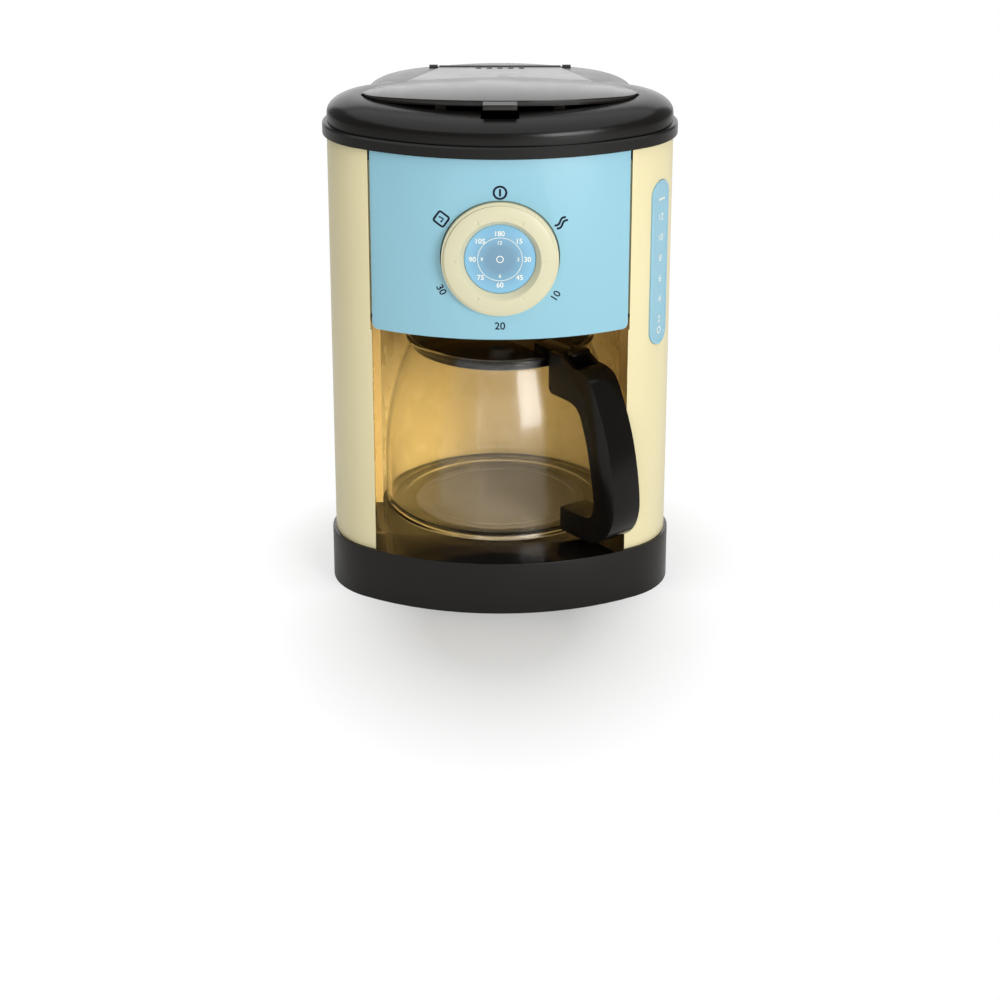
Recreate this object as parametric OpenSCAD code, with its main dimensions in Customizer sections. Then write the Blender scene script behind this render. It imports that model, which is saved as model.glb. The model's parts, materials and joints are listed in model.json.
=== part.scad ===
// Toy drip coffee maker with a tank under its lid, a turning tap and a lift-out jug.
// Millimetres. +Z is up, -Y is the front, z = 0 is the table.
// x = 0 is the middle, and y = 0 is the middle of the oval front of the housing.

/* [Housing plan] */
// Half of the width of the base
base_half_w = 82.5; // [78:0.5:88]
// From the middle of the oval to its front
base_half_d = 51.5; // [48:0.5:55]
// Radius of the tight curves at the two sides
side_r = 37.5; // [35:0.5:40]
// Radius of the round back of the base
back_r = 65.5; // [63:0.5:68]
// From the middle of the oval back to the middle of the round back
back_y = 31.8; // [29:0.2:35]

/* [Housing heights] */
// Height of the base
base_h = 26; // [20:0.5:34]
// Height of the body between base and cover
body_h = 198.6; // [190:0.2:215]
// Height of the jug bay above the base
bay_h = 113.5; // [111:0.5:120]
// Height of the flange round the foot of the cover
flange_h = 5.4; // [4:0.1:9]
// Height of the upright wall of the cover above its flange
cover_wall_h = 4; // [1.5:0.1:5]
// Rise of the rounded shoulder at the front
shoulder_h = 8.7; // [6:0.1:10]
// Width of the rounded shoulder in plan
shoulder_w = 16.2; // [13:0.2:18]
// Radius of the long curve of the top, from front to back
top_bend_r = 600; // [450:10:1200]
// Where the top is highest, from the middle of the oval
top_high_y = -5; // [-20:1:10]

/* [Housing walls] */
// Wall of the base, body and liner mouldings
wall = 2.2; // [1.8:0.1:2.6]
// How far the base stands proud of the body
base_step = 1.7; // [0.8:0.1:2.5]
// How far the cover's flange stands proud of the base
flange_out = 0.4; // [-0.4:0.1:1.2]
// Thickness of the deck that the jug stands on
deck_t = 2.5; // [2:0.1:3.5]
// Thickness of the bottom plate
plate_t = 2.4; // [2.2:0.1:3.5]
// Clearance between nested fixed mouldings
nest_gap = 0.3; // [0.2:0.05:0.4]

/* [Jug bay] */
// Half of the width between the pillars in front of the bay
window_half_w = 60; // [58:0.1:60.6]
// Half of the width between the side walls of the bay
bay_half_w = 62.3; // [61:0.1:63]
// Where the side walls step in to the round back of the bay
bay_step_y = 26; // [22:0.5:28]
// Radius of the hot plate
hotplate_r = 42; // [36:0.5:50]
// Thickness of the hot plate
hotplate_t = 1.5; // [1:0.1:2]

/* [Front panel] */
// Half of the width of the coloured front panel
panel_half_w = 59.7; // [57:0.1:60.2]
// Thickness of the front panel
panel_t = 2.4; // [2:0.1:3]
// Radius of the panel's two lower corners
panel_corner_r = 2.5; // [1:0.5:5]
// Gap between the panel's sides and the pillars
panel_gap = 0.9; // [0.4:0.1:1.5]

/* [Dial] */
// Height of the dial's axis
dial_z = 177.6; // [172:0.2:184]
// Radius of the dial
dial_r = 26.9; // [22:0.1:28]
// Radius of the round face in the dial
face_r = 16.4; // [13:0.1:18]
// How far the crest of the dial stands in front of the panel
dial_proud = 4; // [2.5:0.1:6]
// Number of shallow grip grooves in the dial
dial_grooves = 6; // [3:1:12]
// Gap round the dial in its seat
dial_gap = 0.5; // [0.3:0.1:1]
// Radius of the dial's shaft
shaft_r = 5; // [4:0.1:6]
// Radial clearance of turning shafts and pins
run_gap = 0.05; // [0.02:0.01:0.1]

/* [Tap] */
// Radius of the tap's plug
plug_r = 7; // [6.5:0.1:8]
// Radius of the water way through the tap
port_r = 2.6; // [1.5:0.1:3]
// Wall round the tap's plug
tap_wall = 3; // [2.5:0.1:4]

/* [Lid] */
// How far the lid's front edge lies inside the outline of the base
lid_inset = 18.3; // [17.8:0.1:19.5]
// Thickness of the lid
lid_t = 2.6; // [2:0.1:3.2]
// Height of the lid's top above the cover's top
lid_rise = 5; // [4.5:0.1:7]
// Gap round the lid
lid_gap = 0.8; // [0.5:0.1:1.2]
// Distance of the hinge from the middle of the oval
hinge_y = 69; // [66:0.5:71]
// Half of the length of the lid's hinge barrel
hinge_half_w = 29.6; // [26:0.2:32]
// Radius of the hinge pins
hinge_pin_r = 1.3; // [1:0.1:1.5]
// Half of the width of the finger tab
tab_half_w = 7.7; // [5:0.1:10]
// Length of the finger tab
tab_len = 7; // [4:0.5:8]
// Number of steam vents in the lid
vents = 5; // [3:1:7]
// Distance from vent to vent
vent_pitch = 5.2; // [4.6:0.1:6]

/* [Level gauge] */
// Width of the level gauge
gauge_w = 14.2; // [11:0.2:16]
// Height of the level gauge
gauge_h = 80; // [60:1:90]
// Height of the middle of the level gauge
gauge_z = 166.5; // [155:0.5:175]
// Angle of the gauge round the side curve, from straight out
gauge_angle = -34; // [-40:0.5:-25]

/* [Jug] */
// Largest radius of the jug
jug_r = 57.2; // [52:0.2:58]
// Height of the jug
jug_h = 89; // [84:0.5:92]
// Height of the upright part of the jug's wall, up to where it starts to curve in
belly_h = 24; // [16:0.5:32]
// Radius of the jug's mouth
mouth_r = 45.5; // [43:0.1:47]
// Wall of the jug
jug_wall = 1.6; // [1.2:0.1:2.2]
// Gap under the jug
jug_lift = 0.2; // [0.1:0.1:0.5]
// Radius of the pouring lip
spout_r = 6.5; // [5:0.1:8]
// Angle of the handle from straight forward, towards the right
handle_angle = 37.4; // [34:0.2:38]
// Thickness of the handle
handle_t = 16; // [13:0.5:16.5]
// Reach of the handle from the jug's axis
handle_reach = 99.2; // [94:0.2:100]

/* [Fasteners] */
// Radius of the screw shanks
screw_r = 1.35; // [1.1:0.05:1.6]
// Radius of the screw heads
head_r = 2.8; // [2.4:0.1:3.2]
// Height of the screw heads
head_h = 1.6; // [1.2:0.1:2]

/* [Hidden] */
$fn = 72;

tiny = 0.01;
far = 400;
screw_gap = 0.05;
screw_bore = screw_r + screw_gap;
clear_bore = screw_r + 0.3;

// Levels
deck_z = base_h;
cover_z = base_h + body_h;
bay_top = base_h + bay_h;
panel_bottom = bay_top - 0.9;
shoulder_z = cover_z + flange_h + cover_wall_h;

// Offsets from the outline of the base, positive outwards
skin = -base_step;
skin_in = skin - wall;
liner_out = skin_in - nest_gap;
tub_flange_out = skin_in - nest_gap;
tub_out = -12;

// ---------- Outline of the housing in plan ----------
// A flat front arc, two tight side arcs and a round back. Every moulding
// uses the same arcs, moved in or out by one offset.

front_r = (pow(base_half_w, 2) + pow(base_half_d, 2) - 2 * base_half_w * side_r)
    / (2 * (base_half_d - side_r));
front_cy = front_r - base_half_d;
side_cx = base_half_w - side_r;
join_a = atan2(-front_cy, side_cx);
back_gap = norm([side_cx, back_y]);
front_steps = 16;
side_steps = 20;
back_steps = 40;

// Points of an arc round c from angle a0 to a1
function arc(c, r, a0, a1, n) =
    [for (i = [0:n]) let(a = a0 + (a1 - a0) * i / n) c + r * [cos(a), sin(a)]];

// Angle on a side arc at which it meets the round back, for one offset
function kink_a(o) = let(r = side_r + o, R = back_r + o)
    atan2(back_y, -side_cx) - acos((r * r + back_gap * back_gap - R * R) / (2 * r * back_gap));

// Angle of the same point as seen from the middle of the round back
function back_a(o) = let(k = kink_a(o), r = side_r + o)
    atan2(r * sin(k) - back_y, side_cx + r * cos(k));

function flip(points) = [for (i = [len(points) - 1:-1:0]) [-points[i][0], points[i][1]]];

// A smooth curve through points, with n steps between each two
function curve_at(a, b, c, d, t) =
    (2 * b + (c - a) * t + (2 * a - 5 * b + 4 * c - d) * t * t + (3 * b - a - 3 * c + d) * t * t * t) / 2;
function smooth_curve(p, n) = let(last = len(p) - 1)
    concat([for (i = [0:last - 1], k = [0:n - 1])
        curve_at(p[max(i - 1, 0)], p[i], p[i + 1], p[min(i + 2, last)], k / n)], [p[last]]);

// Front of the outline, from the left side round to the right side
function front_points(o, end_a) =
    let(side = arc([side_cx, 0], side_r + o, join_a, end_a, side_steps),
        front = arc([0, front_cy], front_r + o, -180 - join_a, join_a, front_steps))
    concat([for (i = [0:side_steps - 1]) flip(side)[i]], front,
        [for (i = [1:side_steps]) side[i]]);

// The whole outline
function plan_points(o) =
    let(k = back_a(o), back = arc([0, back_y], back_r + o, k, 180 - k, back_steps))
    concat(front_points(o, kink_a(o)), [for (i = [1:back_steps - 1]) back[i]]);

module plan_prism(o, z0, z1) {
    translate([0, 0, z0]) linear_extrude(z1 - z0) polygon(plan_points(o));
}

// A wall of the housing between two offsets
module plan_wall(o_out, o_in, z0, z1) {
    difference() {
        plan_prism(o_out, z0, z1);
        plan_prism(o_in, z0 - 1, z1 + 1);
    }
}

// Fall of the top at one place, from its highest
function top_drop(y) = pow(y - top_high_y, 2) / (2 * top_bend_r);

// A skin through rings of [offset, z, share of the top's fall]
module plan_loft(rings) {
    outlines = [for (r = rings) [for (p = plan_points(r[0]))
        [p[0], p[1], r[1] - r[2] * top_drop(p[1])]]];
    n = len(outlines[0]);
    m = len(rings);
    sides = [for (j = [0:m - 2], i = [0:n - 1]) let(k = (i + 1) % n)
        each [[j * n + i, j * n + k, (j + 1) * n + k], [j * n + i, (j + 1) * n + k, (j + 1) * n + i]]];
    polyhedron(
        points = [for (o = outlines) each o],
        faces = concat([for (f = sides) [f[2], f[1], f[0]]],
            [[for (i = [0:n - 1]) i]],
            [[for (i = [n - 1:-1:0]) (m - 1) * n + i]])
    );
}

// Height of the cover's top at one place
function top_z(y) = shoulder_z + shoulder_h - top_drop(y);

// ---------- Small shared shapes ----------

// A cylinder along +Y from y0 to y1
module rod_y(x, z, r, y0, y1) {
    translate([x, y0, z]) rotate([-90, 0, 0]) cylinder(r = r, h = y1 - y0);
}

// A cylinder along +X from x0 to x1
module rod_x(y, z, r, x0, x1) {
    translate([x0, y, z]) rotate([0, 90, 0]) cylinder(r = r, h = x1 - x0);
}

// A slab with the side profile given as [y, z] points, from -half to half in X
module side_slab(profile, half) {
    translate([-half, 0, 0]) rotate([90, 0, 90]) linear_extrude(2 * half) polygon(profile);
}

// A pan-head screw that points up, its head's top at the origin
module screw(length) {
    translate([0, 0, -head_h]) cylinder(r = head_r, h = head_h);
    translate([0, 0, -tiny]) cylinder(r = screw_r, h = length + tiny);
}

module both_sides() {
    children();
    mirror([1, 0, 0]) children();
}

// ---------- Base ----------

// Screws that hold the bottom plate, and the bosses that they enter
plate_screw_x = base_half_w - 24.5;
plate_screw_back = [42, back_y + 36.2];
plate_screw_places = [[-plate_screw_x, -18], [plate_screw_x, -18],
    [-plate_screw_back[0], plate_screw_back[1]], plate_screw_back];
plate_screw_len = 9;
plate_boss_r = 4;
// Screws that hold the body, under the pillars
body_screw_x = base_half_w - 9.1;
body_screw_y = 9;
body_screw_places = [for (x = [-body_screw_x, body_screw_x], y = [-body_screw_y, body_screw_y]) [x, y]];
body_screw_len = 11;
body_boss_r = 4.2;
body_boss_h = 16;
seat_gap = 0.2;

module base() {
    color("#262426") difference() {
        union() {
            plan_wall(0, -wall, 0, base_h - deck_t + tiny);
            plan_prism(0, base_h - deck_t, base_h);
            for (p = plate_screw_places) translate([p[0], p[1], plate_t + seat_gap])
                cylinder(r = plate_boss_r, h = base_h - deck_t - plate_t - seat_gap + tiny);
            translate([0, back_y, base_h - deck_t - hotplate_t])
                cylinder(r = hotplate_r + wall, h = hotplate_t + tiny);
        }
        translate([0, back_y, base_h - hotplate_t]) cylinder(r = hotplate_r + seat_gap, h = hotplate_t + 1);
        for (p = plate_screw_places) translate([p[0], p[1], 0])
            cylinder(r = screw_bore, h = plate_t + plate_screw_len + 1);
        for (p = body_screw_places) translate([p[0], p[1], base_h - deck_t - 1])
            cylinder(r = clear_bore, h = deck_t + 2);
    }
}

module base_plate() {
    color("#201f21") difference() {
        plan_prism(-wall - nest_gap, 0, plate_t);
        for (p = plate_screw_places) translate([p[0], p[1], 0]) {
            translate([0, 0, -1]) cylinder(r = clear_bore, h = plate_t + 2);
            translate([0, 0, -1]) cylinder(r = head_r + nest_gap, h = head_h + 1.2);
        }
    }
}

module base_screws() {
    color("silver") for (p = plate_screw_places)
        translate([p[0], p[1], head_h + 0.2]) screw(plate_screw_len);
}

module hotplate() {
    color("#3a3836") translate([0, back_y, base_h - hotplate_t]) difference() {
        cylinder(r = hotplate_r, h = hotplate_t);
        translate([0, 0, hotplate_t - 0.4]) difference() {
            cylinder(r = hotplate_r - 4, h = 1);
            translate([0, 0, -1]) cylinder(r = hotplate_r - 6, h = 3);
        }
    }
}

// ---------- Body ----------

rib_t = 2.4;
rib_depth = 5.6;
rib_top = cover_z - 3.4;
lip_half_in = 54;
lip_t = 2;
lip_out = skin - panel_t - nest_gap;

// A rib on the inside of a wall of radius r round [cx, cy], at angle a
module wall_rib(cx, cy, r, a, z0, z1) {
    translate([cx, cy, z0]) rotate([0, 0, a]) translate([r - rib_depth, -rib_t / 2, 0])
        cube([rib_depth + wall / 2, rib_t, z1 - z0]);
}

// A layer of the side wall between two offsets, cut to a stadium w wide and h high
module gauge_layer(w, h, o_out, o_in) {
    intersection() {
        plan_wall(o_out, o_in, gauge_z - gauge_h, gauge_z + gauge_h);
        translate([side_cx, 0, gauge_z]) rotate([0, 0, gauge_angle]) rotate([0, 90, 0])
            linear_extrude(side_r + 10) union() {
                square([h - w, w], center = true);
                for (s = [-1, 1]) translate([s * (h - w) / 2, 0]) circle(d = w);
            }
    }
}
gauge_depth = 0.8;
gauge_proud = 0.7;
gauge_rim = 3;

module body_shell() {
    color("#efe6bd") difference() {
        union() {
            plan_wall(skin, skin_in, deck_z, cover_z);
            for (p = body_screw_places) translate([p[0], p[1], deck_z])
                cylinder(r = body_boss_r, h = body_boss_h);
            for (a = [25, 65, 115, 155])
                wall_rib(0, back_y, back_r + skin_in, a, bay_top + wall + 1, rib_top);
            both_sides() wall_rib(side_cx, 0, side_r + skin_in, -5, bay_top + wall + 1, rib_top);
            // Lips behind the edges of the front panel
            intersection() {
                plan_wall(skin_in + tiny, lip_out - lip_t, panel_bottom + 6, cover_z - 6);
                both_sides() translate([panel_half_w + panel_gap, -far, 0]) cube([7, far, far]);
            }
            intersection() {
                plan_wall(lip_out, lip_out - lip_t, panel_bottom + 6, cover_z - 6);
                both_sides() translate([lip_half_in, -far, 0])
                    cube([panel_half_w + 3 - lip_half_in, far, far]);
            }
        }
        // Window for the jug bay, and the one for the panel above it
        translate([-window_half_w, -far, deck_z - 1])
            cube([2 * window_half_w, far - 20, panel_bottom - deck_z + 1]);
        intersection() {
            translate([-panel_half_w - panel_gap, -far, panel_bottom - 1])
                cube([2 * (panel_half_w + panel_gap), far - 20, far]);
            plan_wall(1, skin_in, panel_bottom - 2, cover_z + 1);
        }
        for (p = body_screw_places) translate([p[0], p[1], deck_z - 1])
            cylinder(r = screw_bore, h = body_screw_len + 2);
        gauge_layer(gauge_w + 2 * seat_gap, gauge_h + 2 * seat_gap, skin + 1, skin - gauge_depth);
    }
}

module body_screws() {
    color("silver") for (p = body_screw_places)
        translate([p[0], p[1], deck_z - deck_t]) screw(body_screw_len + deck_t - 1);
}

// Inside of the bay in plan: two side walls, a small step and a round back
bay_back_r = back_r + liner_out - wall;
function bay_points(g) =
    let(R = bay_back_r + g, y = bay_step_y + g, a = asin((y - back_y) / R))
    concat([[-bay_half_w - g, y], [-bay_half_w - g, -far], [bay_half_w + g, -far], [bay_half_w + g, y]],
        arc([0, back_y], R, a, 180 - a, 48));

nozzle_r = 6;
nozzle_hole_r = nozzle_r + 0.5;

module bay_liner() {
    color("#e8d596") difference() {
        intersection() {
            translate([0, 0, deck_z]) linear_extrude(bay_h + wall) polygon(bay_points(wall));
            plan_prism(liner_out, deck_z, bay_top + wall);
        }
        translate([0, 0, deck_z - 1]) linear_extrude(bay_h + 1) polygon(bay_points(0));
        translate([0, back_y, bay_top - 1]) cylinder(r = nozzle_hole_r, h = wall + 2);
        // The ceiling stops behind the lips of the body
        translate([-far / 2, -far, bay_top - 1]) difference() {
            cube([far, far, far]);
            translate([far / 2, far, 0]) plan_prism(lip_out - lip_t - nest_gap, -far, far);
        }
    }
}

// ---------- Front panel and level gauge ----------

panel_y = -(base_half_d + skin);
seat_r = dial_r + dial_gap;
seat_depth = 6.5;
seat_floor = 2;
hub_r = 8;
hub_len = 6;
// Snap hooks that reach behind the lips of the body
hook_x = lip_half_in - 2.5;
hook_t = 2;
hook_w = 8;
hook_barb = 1.6;
hook_levels = [panel_bottom + 19, cover_z - 14];
// Stop of the dial: a stud on its back in a curved slot of the cup's floor
stop_r = 20;
stud_r = 1.3;
stud_gap = 0.35;
dial_turn = 90;

// The Y of a wall's front at one place across, for one offset
function front_face_y(o, x) = front_cy - sqrt(pow(front_r + o, 2) - x * x);

module panel_outline() {
    w = panel_half_w;
    r = panel_corner_r;
    h = cover_z - 0.3 - panel_bottom;
    translate([-w, r]) square([2 * w, h - r]);
    translate([-w + r, 0]) square([2 * (w - r), r + tiny]);
    for (s = [-1, 1]) translate([s * (w - r), r]) circle(r = r);
}

module front_panel() {
    color("#93c9dd") difference() {
        union() {
            intersection() {
                plan_wall(skin, skin - panel_t, panel_bottom - 1, cover_z);
                translate([0, 0, panel_bottom]) rotate([90, 0, 0]) linear_extrude(far) panel_outline();
            }
            // Cup that the dial turns in, and the hub of its shaft
            intersection() {
                rod_y(0, dial_z, seat_r + wall, panel_y, panel_y + seat_depth + seat_floor);
                plan_prism(skin - tiny, 0, far);
            }
            rod_y(0, dial_z, hub_r, panel_y + seat_depth, panel_y + seat_depth + seat_floor + hub_len);
            both_sides() for (z = hook_levels) panel_hook(z);
        }
        rod_y(0, dial_z, seat_r, panel_y - 10, panel_y + seat_depth);
        rod_y(0, dial_z, shaft_r + run_gap, -far, 0);
        translate([0, panel_y + seat_depth - 1, dial_z]) stop_slot(seat_floor + 2);
    }
}

module panel_hook(z) {
    y0 = front_face_y(skin - panel_t / 2, hook_x);
    barb_y = front_face_y(lip_out - lip_t, lip_half_in + hook_barb) + nest_gap;
    translate([0, 0, z - hook_w / 2]) linear_extrude(hook_w) polygon([
        [hook_x, y0], [hook_x, barb_y + 3], [hook_x + hook_t / 2, barb_y + 3],
        [hook_x + hook_t + hook_barb, barb_y + 0.6], [hook_x + hook_t + hook_barb, barb_y],
        [hook_x + hook_t, barb_y], [hook_x + hook_t, y0]]);
}

// The slot runs a quarter turn round the dial's axis, from the upper left to the upper right
module stop_slot(depth) {
    rotate([-90, 0, 0]) {
        rotate([0, 0, -90 - dial_turn / 2]) rotate_extrude(angle = dial_turn)
            translate([stop_r - stud_r - stud_gap, 0]) square([2 * (stud_r + stud_gap), depth]);
        for (s = [-1, 1]) rotate([0, 0, s * dial_turn / 2]) translate([0, -stop_r, 0])
            cylinder(r = stud_r + stud_gap, h = depth);
    }
}

module level_gauge() {
    color("#8fc4da") difference() {
        gauge_layer(gauge_w, gauge_h, skin + gauge_proud, skin - gauge_depth + seat_gap);
        // A shallow channel inside a raised rim
        gauge_layer(gauge_w - gauge_rim, gauge_h - gauge_rim, skin + 5, skin + gauge_proud - 0.35);
    }
}

// ---------- Cover and lid ----------

cover_wall = 2.4;
dome_out = skin - 0.1;
shoulder_steps = [for (a = [10:10:90]) a];
ledge_w = 3.5;
ledge_z = shoulder_z + 3.2;
ledge_t = 1.8;
ledge_back = 8;
crease_y = 21.4;
crease_r = 131;
tongue_half_w = 44.5;
tongue_end_y = hinge_y - 4;
tip_a = -12;
tip_x = 56;
lid_front = base_half_d - lid_inset;
hinge_z = top_z(hinge_y) - 1.2;
barrel_r = 2.2;
knuckle_w = 4.6;
notch_gap = 1;
// The tank's mouth, and the bridge behind it that carries the hinge
mouth_back = hinge_y - 19;
bridge_half_w = hinge_half_w + nest_gap + knuckle_w;
bridge_front = hinge_y - 8;
bridge_back = hinge_y + 5;
bridge_top = hinge_z - barrel_r;
bridge_t = 2.4;

function crease(x) = crease_y - x * x / (2 * crease_r);

// Outline of the front of the lid, back to the crease, grown by g
function lens_points(g) =
    let(side = [for (x = [tip_x, 50, 44, 33, 22, 11]) [x + g / 2, crease(x) + g]])
    concat(front_points(g - lid_inset, tip_a), side, [[0, crease(0) + g]], flip(side));

// Outline of the whole lid, with the tongue that runs back to the hinge
function lid_points(g) =
    let(side = [[tip_x + g / 2, crease(tip_x) + g], [50 + g / 2, crease(50) + g],
        [tongue_half_w + g, crease(tongue_half_w) + g], [hinge_half_w + g, tongue_end_y],
        [hinge_half_w + g, hinge_y + barrel_r + g]])
    concat(front_points(g - lid_inset, tip_a), side, flip(side));

module top_cover() {
    color("#1b191b") difference() {
        union() {
            difference() {
                plan_loft(concat([
                    [flange_out, cover_z, 0],
                    [flange_out, cover_z + flange_h - 0.8, 0],
                    [flange_out - 0.8, cover_z + flange_h, 0],
                    [dome_out, cover_z + flange_h + 0.2, 0],
                    [dome_out, shoulder_z, 0]],
                    [for (a = shoulder_steps)
                        [dome_out - shoulder_w * (1 - cos(a)), shoulder_z + shoulder_h * sin(a), sin(a)]]));
                plan_loft(concat([
                    [dome_out - cover_wall, cover_z - 1, 0],
                    [dome_out - cover_wall, shoulder_z - 1, 0]],
                    [for (a = shoulder_steps)
                        [dome_out - cover_wall - (shoulder_w - cover_wall) * (1 - cos(a)),
                            shoulder_z - 1 + (shoulder_h + 1 - cover_wall) * sin(a), sin(a)]]));
            }
            // Ledge under the front of the lid
            intersection() {
                plan_wall(1 - lid_inset, -lid_inset - ledge_w, ledge_z - ledge_t, top_z(0) - 1);
                translate([-far / 2, -far, 0]) cube([far, far + ledge_back, far]);
            }
            both_sides()
                rod_x(hinge_y, hinge_z, barrel_r + nest_gap, hinge_half_w + nest_gap, bridge_half_w);
            translate([-bridge_half_w, bridge_front, bridge_top - bridge_t])
                cube([2 * bridge_half_w, bridge_back - bridge_front, bridge_t]);
        }
        translate([0, 0, ledge_z]) linear_extrude(30) polygon(lid_points(lid_gap));
        // The tank's mouth, open through the cover
        intersection() {
            linear_extrude(far) polygon(lid_points(-ledge_w));
            translate([-far / 2, -far, 0]) cube([far, far + mouth_back, far]);
        }
        // Clearance under the tongue and round the barrel
        intersection() {
            linear_extrude(far) polygon(lid_points(lid_gap));
            side_slab([[crease_y, tongue_z0 - lid_t - nest_gap], [hinge_y, tongue_z1 - lid_t - nest_gap],
                [hinge_y, far], [crease_y, far]], 70);
        }
        rod_x(hinge_y, hinge_z, barrel_r + nest_gap, -hinge_half_w - nest_gap, hinge_half_w + nest_gap);
        // Finger notch
        translate([-tab_half_w - notch_gap, -lid_front - tab_len - notch_gap, ledge_z - 0.5])
            cube([2 * (tab_half_w + notch_gap), tab_len + 5, 30]);
        rod_x(hinge_y, hinge_z, hinge_pin_r + run_gap, -pin_end - pin_gap, pin_end + pin_gap);
    }
}

// Top of the lid at one place, and the two plates in side view
function lens_z(y) = top_z(-lid_front) + lid_rise - 0.04 * (y + lid_front);
tongue_z0 = lens_z(crease_y) - 1.4;
tongue_z1 = hinge_z + 1.6;
pin_end = hinge_half_w + 3.6;
pin_gap = 0.4;
foot_x = 27;
foot_w = 5;
foot_d = 2.4;
vent_w = 2.6;
vent_len = 3.4;
vent_y = 62.5;

module lid() {
    color("#2a272a") difference() {
        union() {
            intersection() {
                linear_extrude(far) polygon(lens_points(0));
                side_slab([[-60, lens_z(-60) - lid_t], [40, lens_z(40) - lid_t], [40, lens_z(40)],
                    [-60, lens_z(-60)]], 70);
            }
            intersection() {
                linear_extrude(far) polygon(lid_points(0));
                side_slab([[-5, tongue_z0 - lid_t], [crease_y, tongue_z0 - lid_t],
                    [hinge_y, tongue_z1 - lid_t], [hinge_y, tongue_z1],
                    [crease_y, tongue_z0], [-5, tongue_z0]], 70);
            }
            rod_x(hinge_y, hinge_z, barrel_r, -hinge_half_w, hinge_half_w);
            rod_x(hinge_y, hinge_z, hinge_pin_r, -pin_end, pin_end);
            // Finger tab
            translate([-tab_half_w, -lid_front - tab_len, lens_z(-lid_front) - lid_t])
                cube([2 * tab_half_w, tab_len + 4, lid_t - 0.3]);
            // Feet that rest on the ledge
            both_sides()
                translate([foot_x - foot_w / 2, front_face_y(-lid_inset, foot_x) + 1, ledge_z + seat_gap])
                    cube([foot_w, foot_d, lens_z(-lid_front) - lid_t / 2 - ledge_z - seat_gap]);
        }
        for (i = [0:vents - 1])
            translate([(i - (vents - 1) / 2) * vent_pitch - vent_w / 2, vent_y - vent_len / 2, 0])
                cube([vent_w, vent_len, far]);
    }
}

// ---------- Water tank and tap ----------

tank_front_y = -8;
tank_floor_z = dial_z - plug_r - 4;
shelf_z = dial_z + plug_r + tap_wall + 8;
tank_wall = 2;
tank_top = cover_z + 5.5;
gasket_t = 1.2;
tap_back = tank_front_y - gasket_t;
plug_len = 17;
plug_front = tap_back - plug_len;
tap_front = plug_front - 3;
ear_x = 15;
tap_out_z = dial_z - plug_r - tap_wall - 8;
tap_ear_r = 4;
tap_flange_t = 3;
tap_screw_len = 9;
spigot_r = 5;
inlet_r = 4.5;

module tank_shape(o, t, top) {
    intersection() {
        plan_prism(o, 0, top);
        side_slab([[-far, shelf_z + t], [tank_front_y + t, shelf_z + t],
            [tank_front_y + t, tank_floor_z + t], [far, tank_floor_z + t], [far, far], [-far, far]], 90);
    }
}

module reservoir() {
    color("#2b2a2c") difference() {
        union() {
            tank_shape(tub_out, 0, tank_top);
            plan_prism(tub_flange_out, rib_top + seat_gap, rib_top + seat_gap + tank_wall);
        }
        difference() {
            tank_shape(tub_out - tank_wall, tank_wall, far);
            for (s = [-1, 1]) rod_y(s * ear_x, dial_z, 3.5, tank_front_y - 1, tank_front_y + 8);
        }
        rod_y(0, dial_z, inlet_r, tank_front_y - 1, tank_front_y + 5);
        for (s = [-1, 1]) rod_y(s * ear_x, dial_z, screw_bore, tank_front_y - 1, tank_front_y + 6.5);
    }
}

module tank_gasket() {
    color("#303030") difference() {
        rod_y(0, dial_z, plug_r + tap_wall - 1, tap_back, tank_front_y);
        rod_y(0, dial_z, inlet_r, tap_back - 1, tank_front_y + 1);
    }
}

module tap_body() {
    color("#e6e2d4") difference() {
        union() {
            rod_y(0, dial_z, plug_r + tap_wall, tap_front, tap_back);
            for (s = [-1, 1])
                rod_y(s * ear_x, dial_z, tap_ear_r, tap_back - tap_flange_t, tank_front_y);
            translate([-ear_x, tap_back - tap_flange_t, dial_z - tap_ear_r])
                cube([2 * ear_x, tap_flange_t, 2 * tap_ear_r]);
            translate([0, tap_port_y, tap_out_z]) cylinder(r = spigot_r, h = dial_z - plug_r - tap_out_z);
        }
        rod_y(0, dial_z, plug_r + run_gap, plug_front - 0.2, tank_front_y + 1);
        rod_y(0, dial_z, shaft_r + run_gap, tap_front - 1, plug_front);
        for (s = [-1, 1]) rod_y(s * ear_x, dial_z, clear_bore, tap_front, tank_front_y + 1);
        translate([0, tap_port_y, tap_out_z - 1]) cylinder(r = port_r, h = dial_z - tap_out_z);
    }
}

module tap_screws() {
    color("silver") for (s = [-1, 1]) translate([s * ear_x, tap_back - tap_flange_t, dial_z])
        rotate([-90, 0, 0]) screw(tap_screw_len);
}

pipe_top = tap_out_z + 6;
pipe_r = 4.6;
pipe_wall = 1.6;
pipe_bend_z = bay_top + wall + 8;
nozzle_bottom = bay_top - 12.5;
tap_port_y = plug_front + plug_len / 2;

// Straight piece of pipe in the middle plane between two [y, z] points
module pipe_run(a, b, r) {
    d = b - a;
    translate([0, a[0], a[1]]) rotate([-atan2(d[0], d[1]), 0, 0]) cylinder(r = r, h = norm(d));
}

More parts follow.
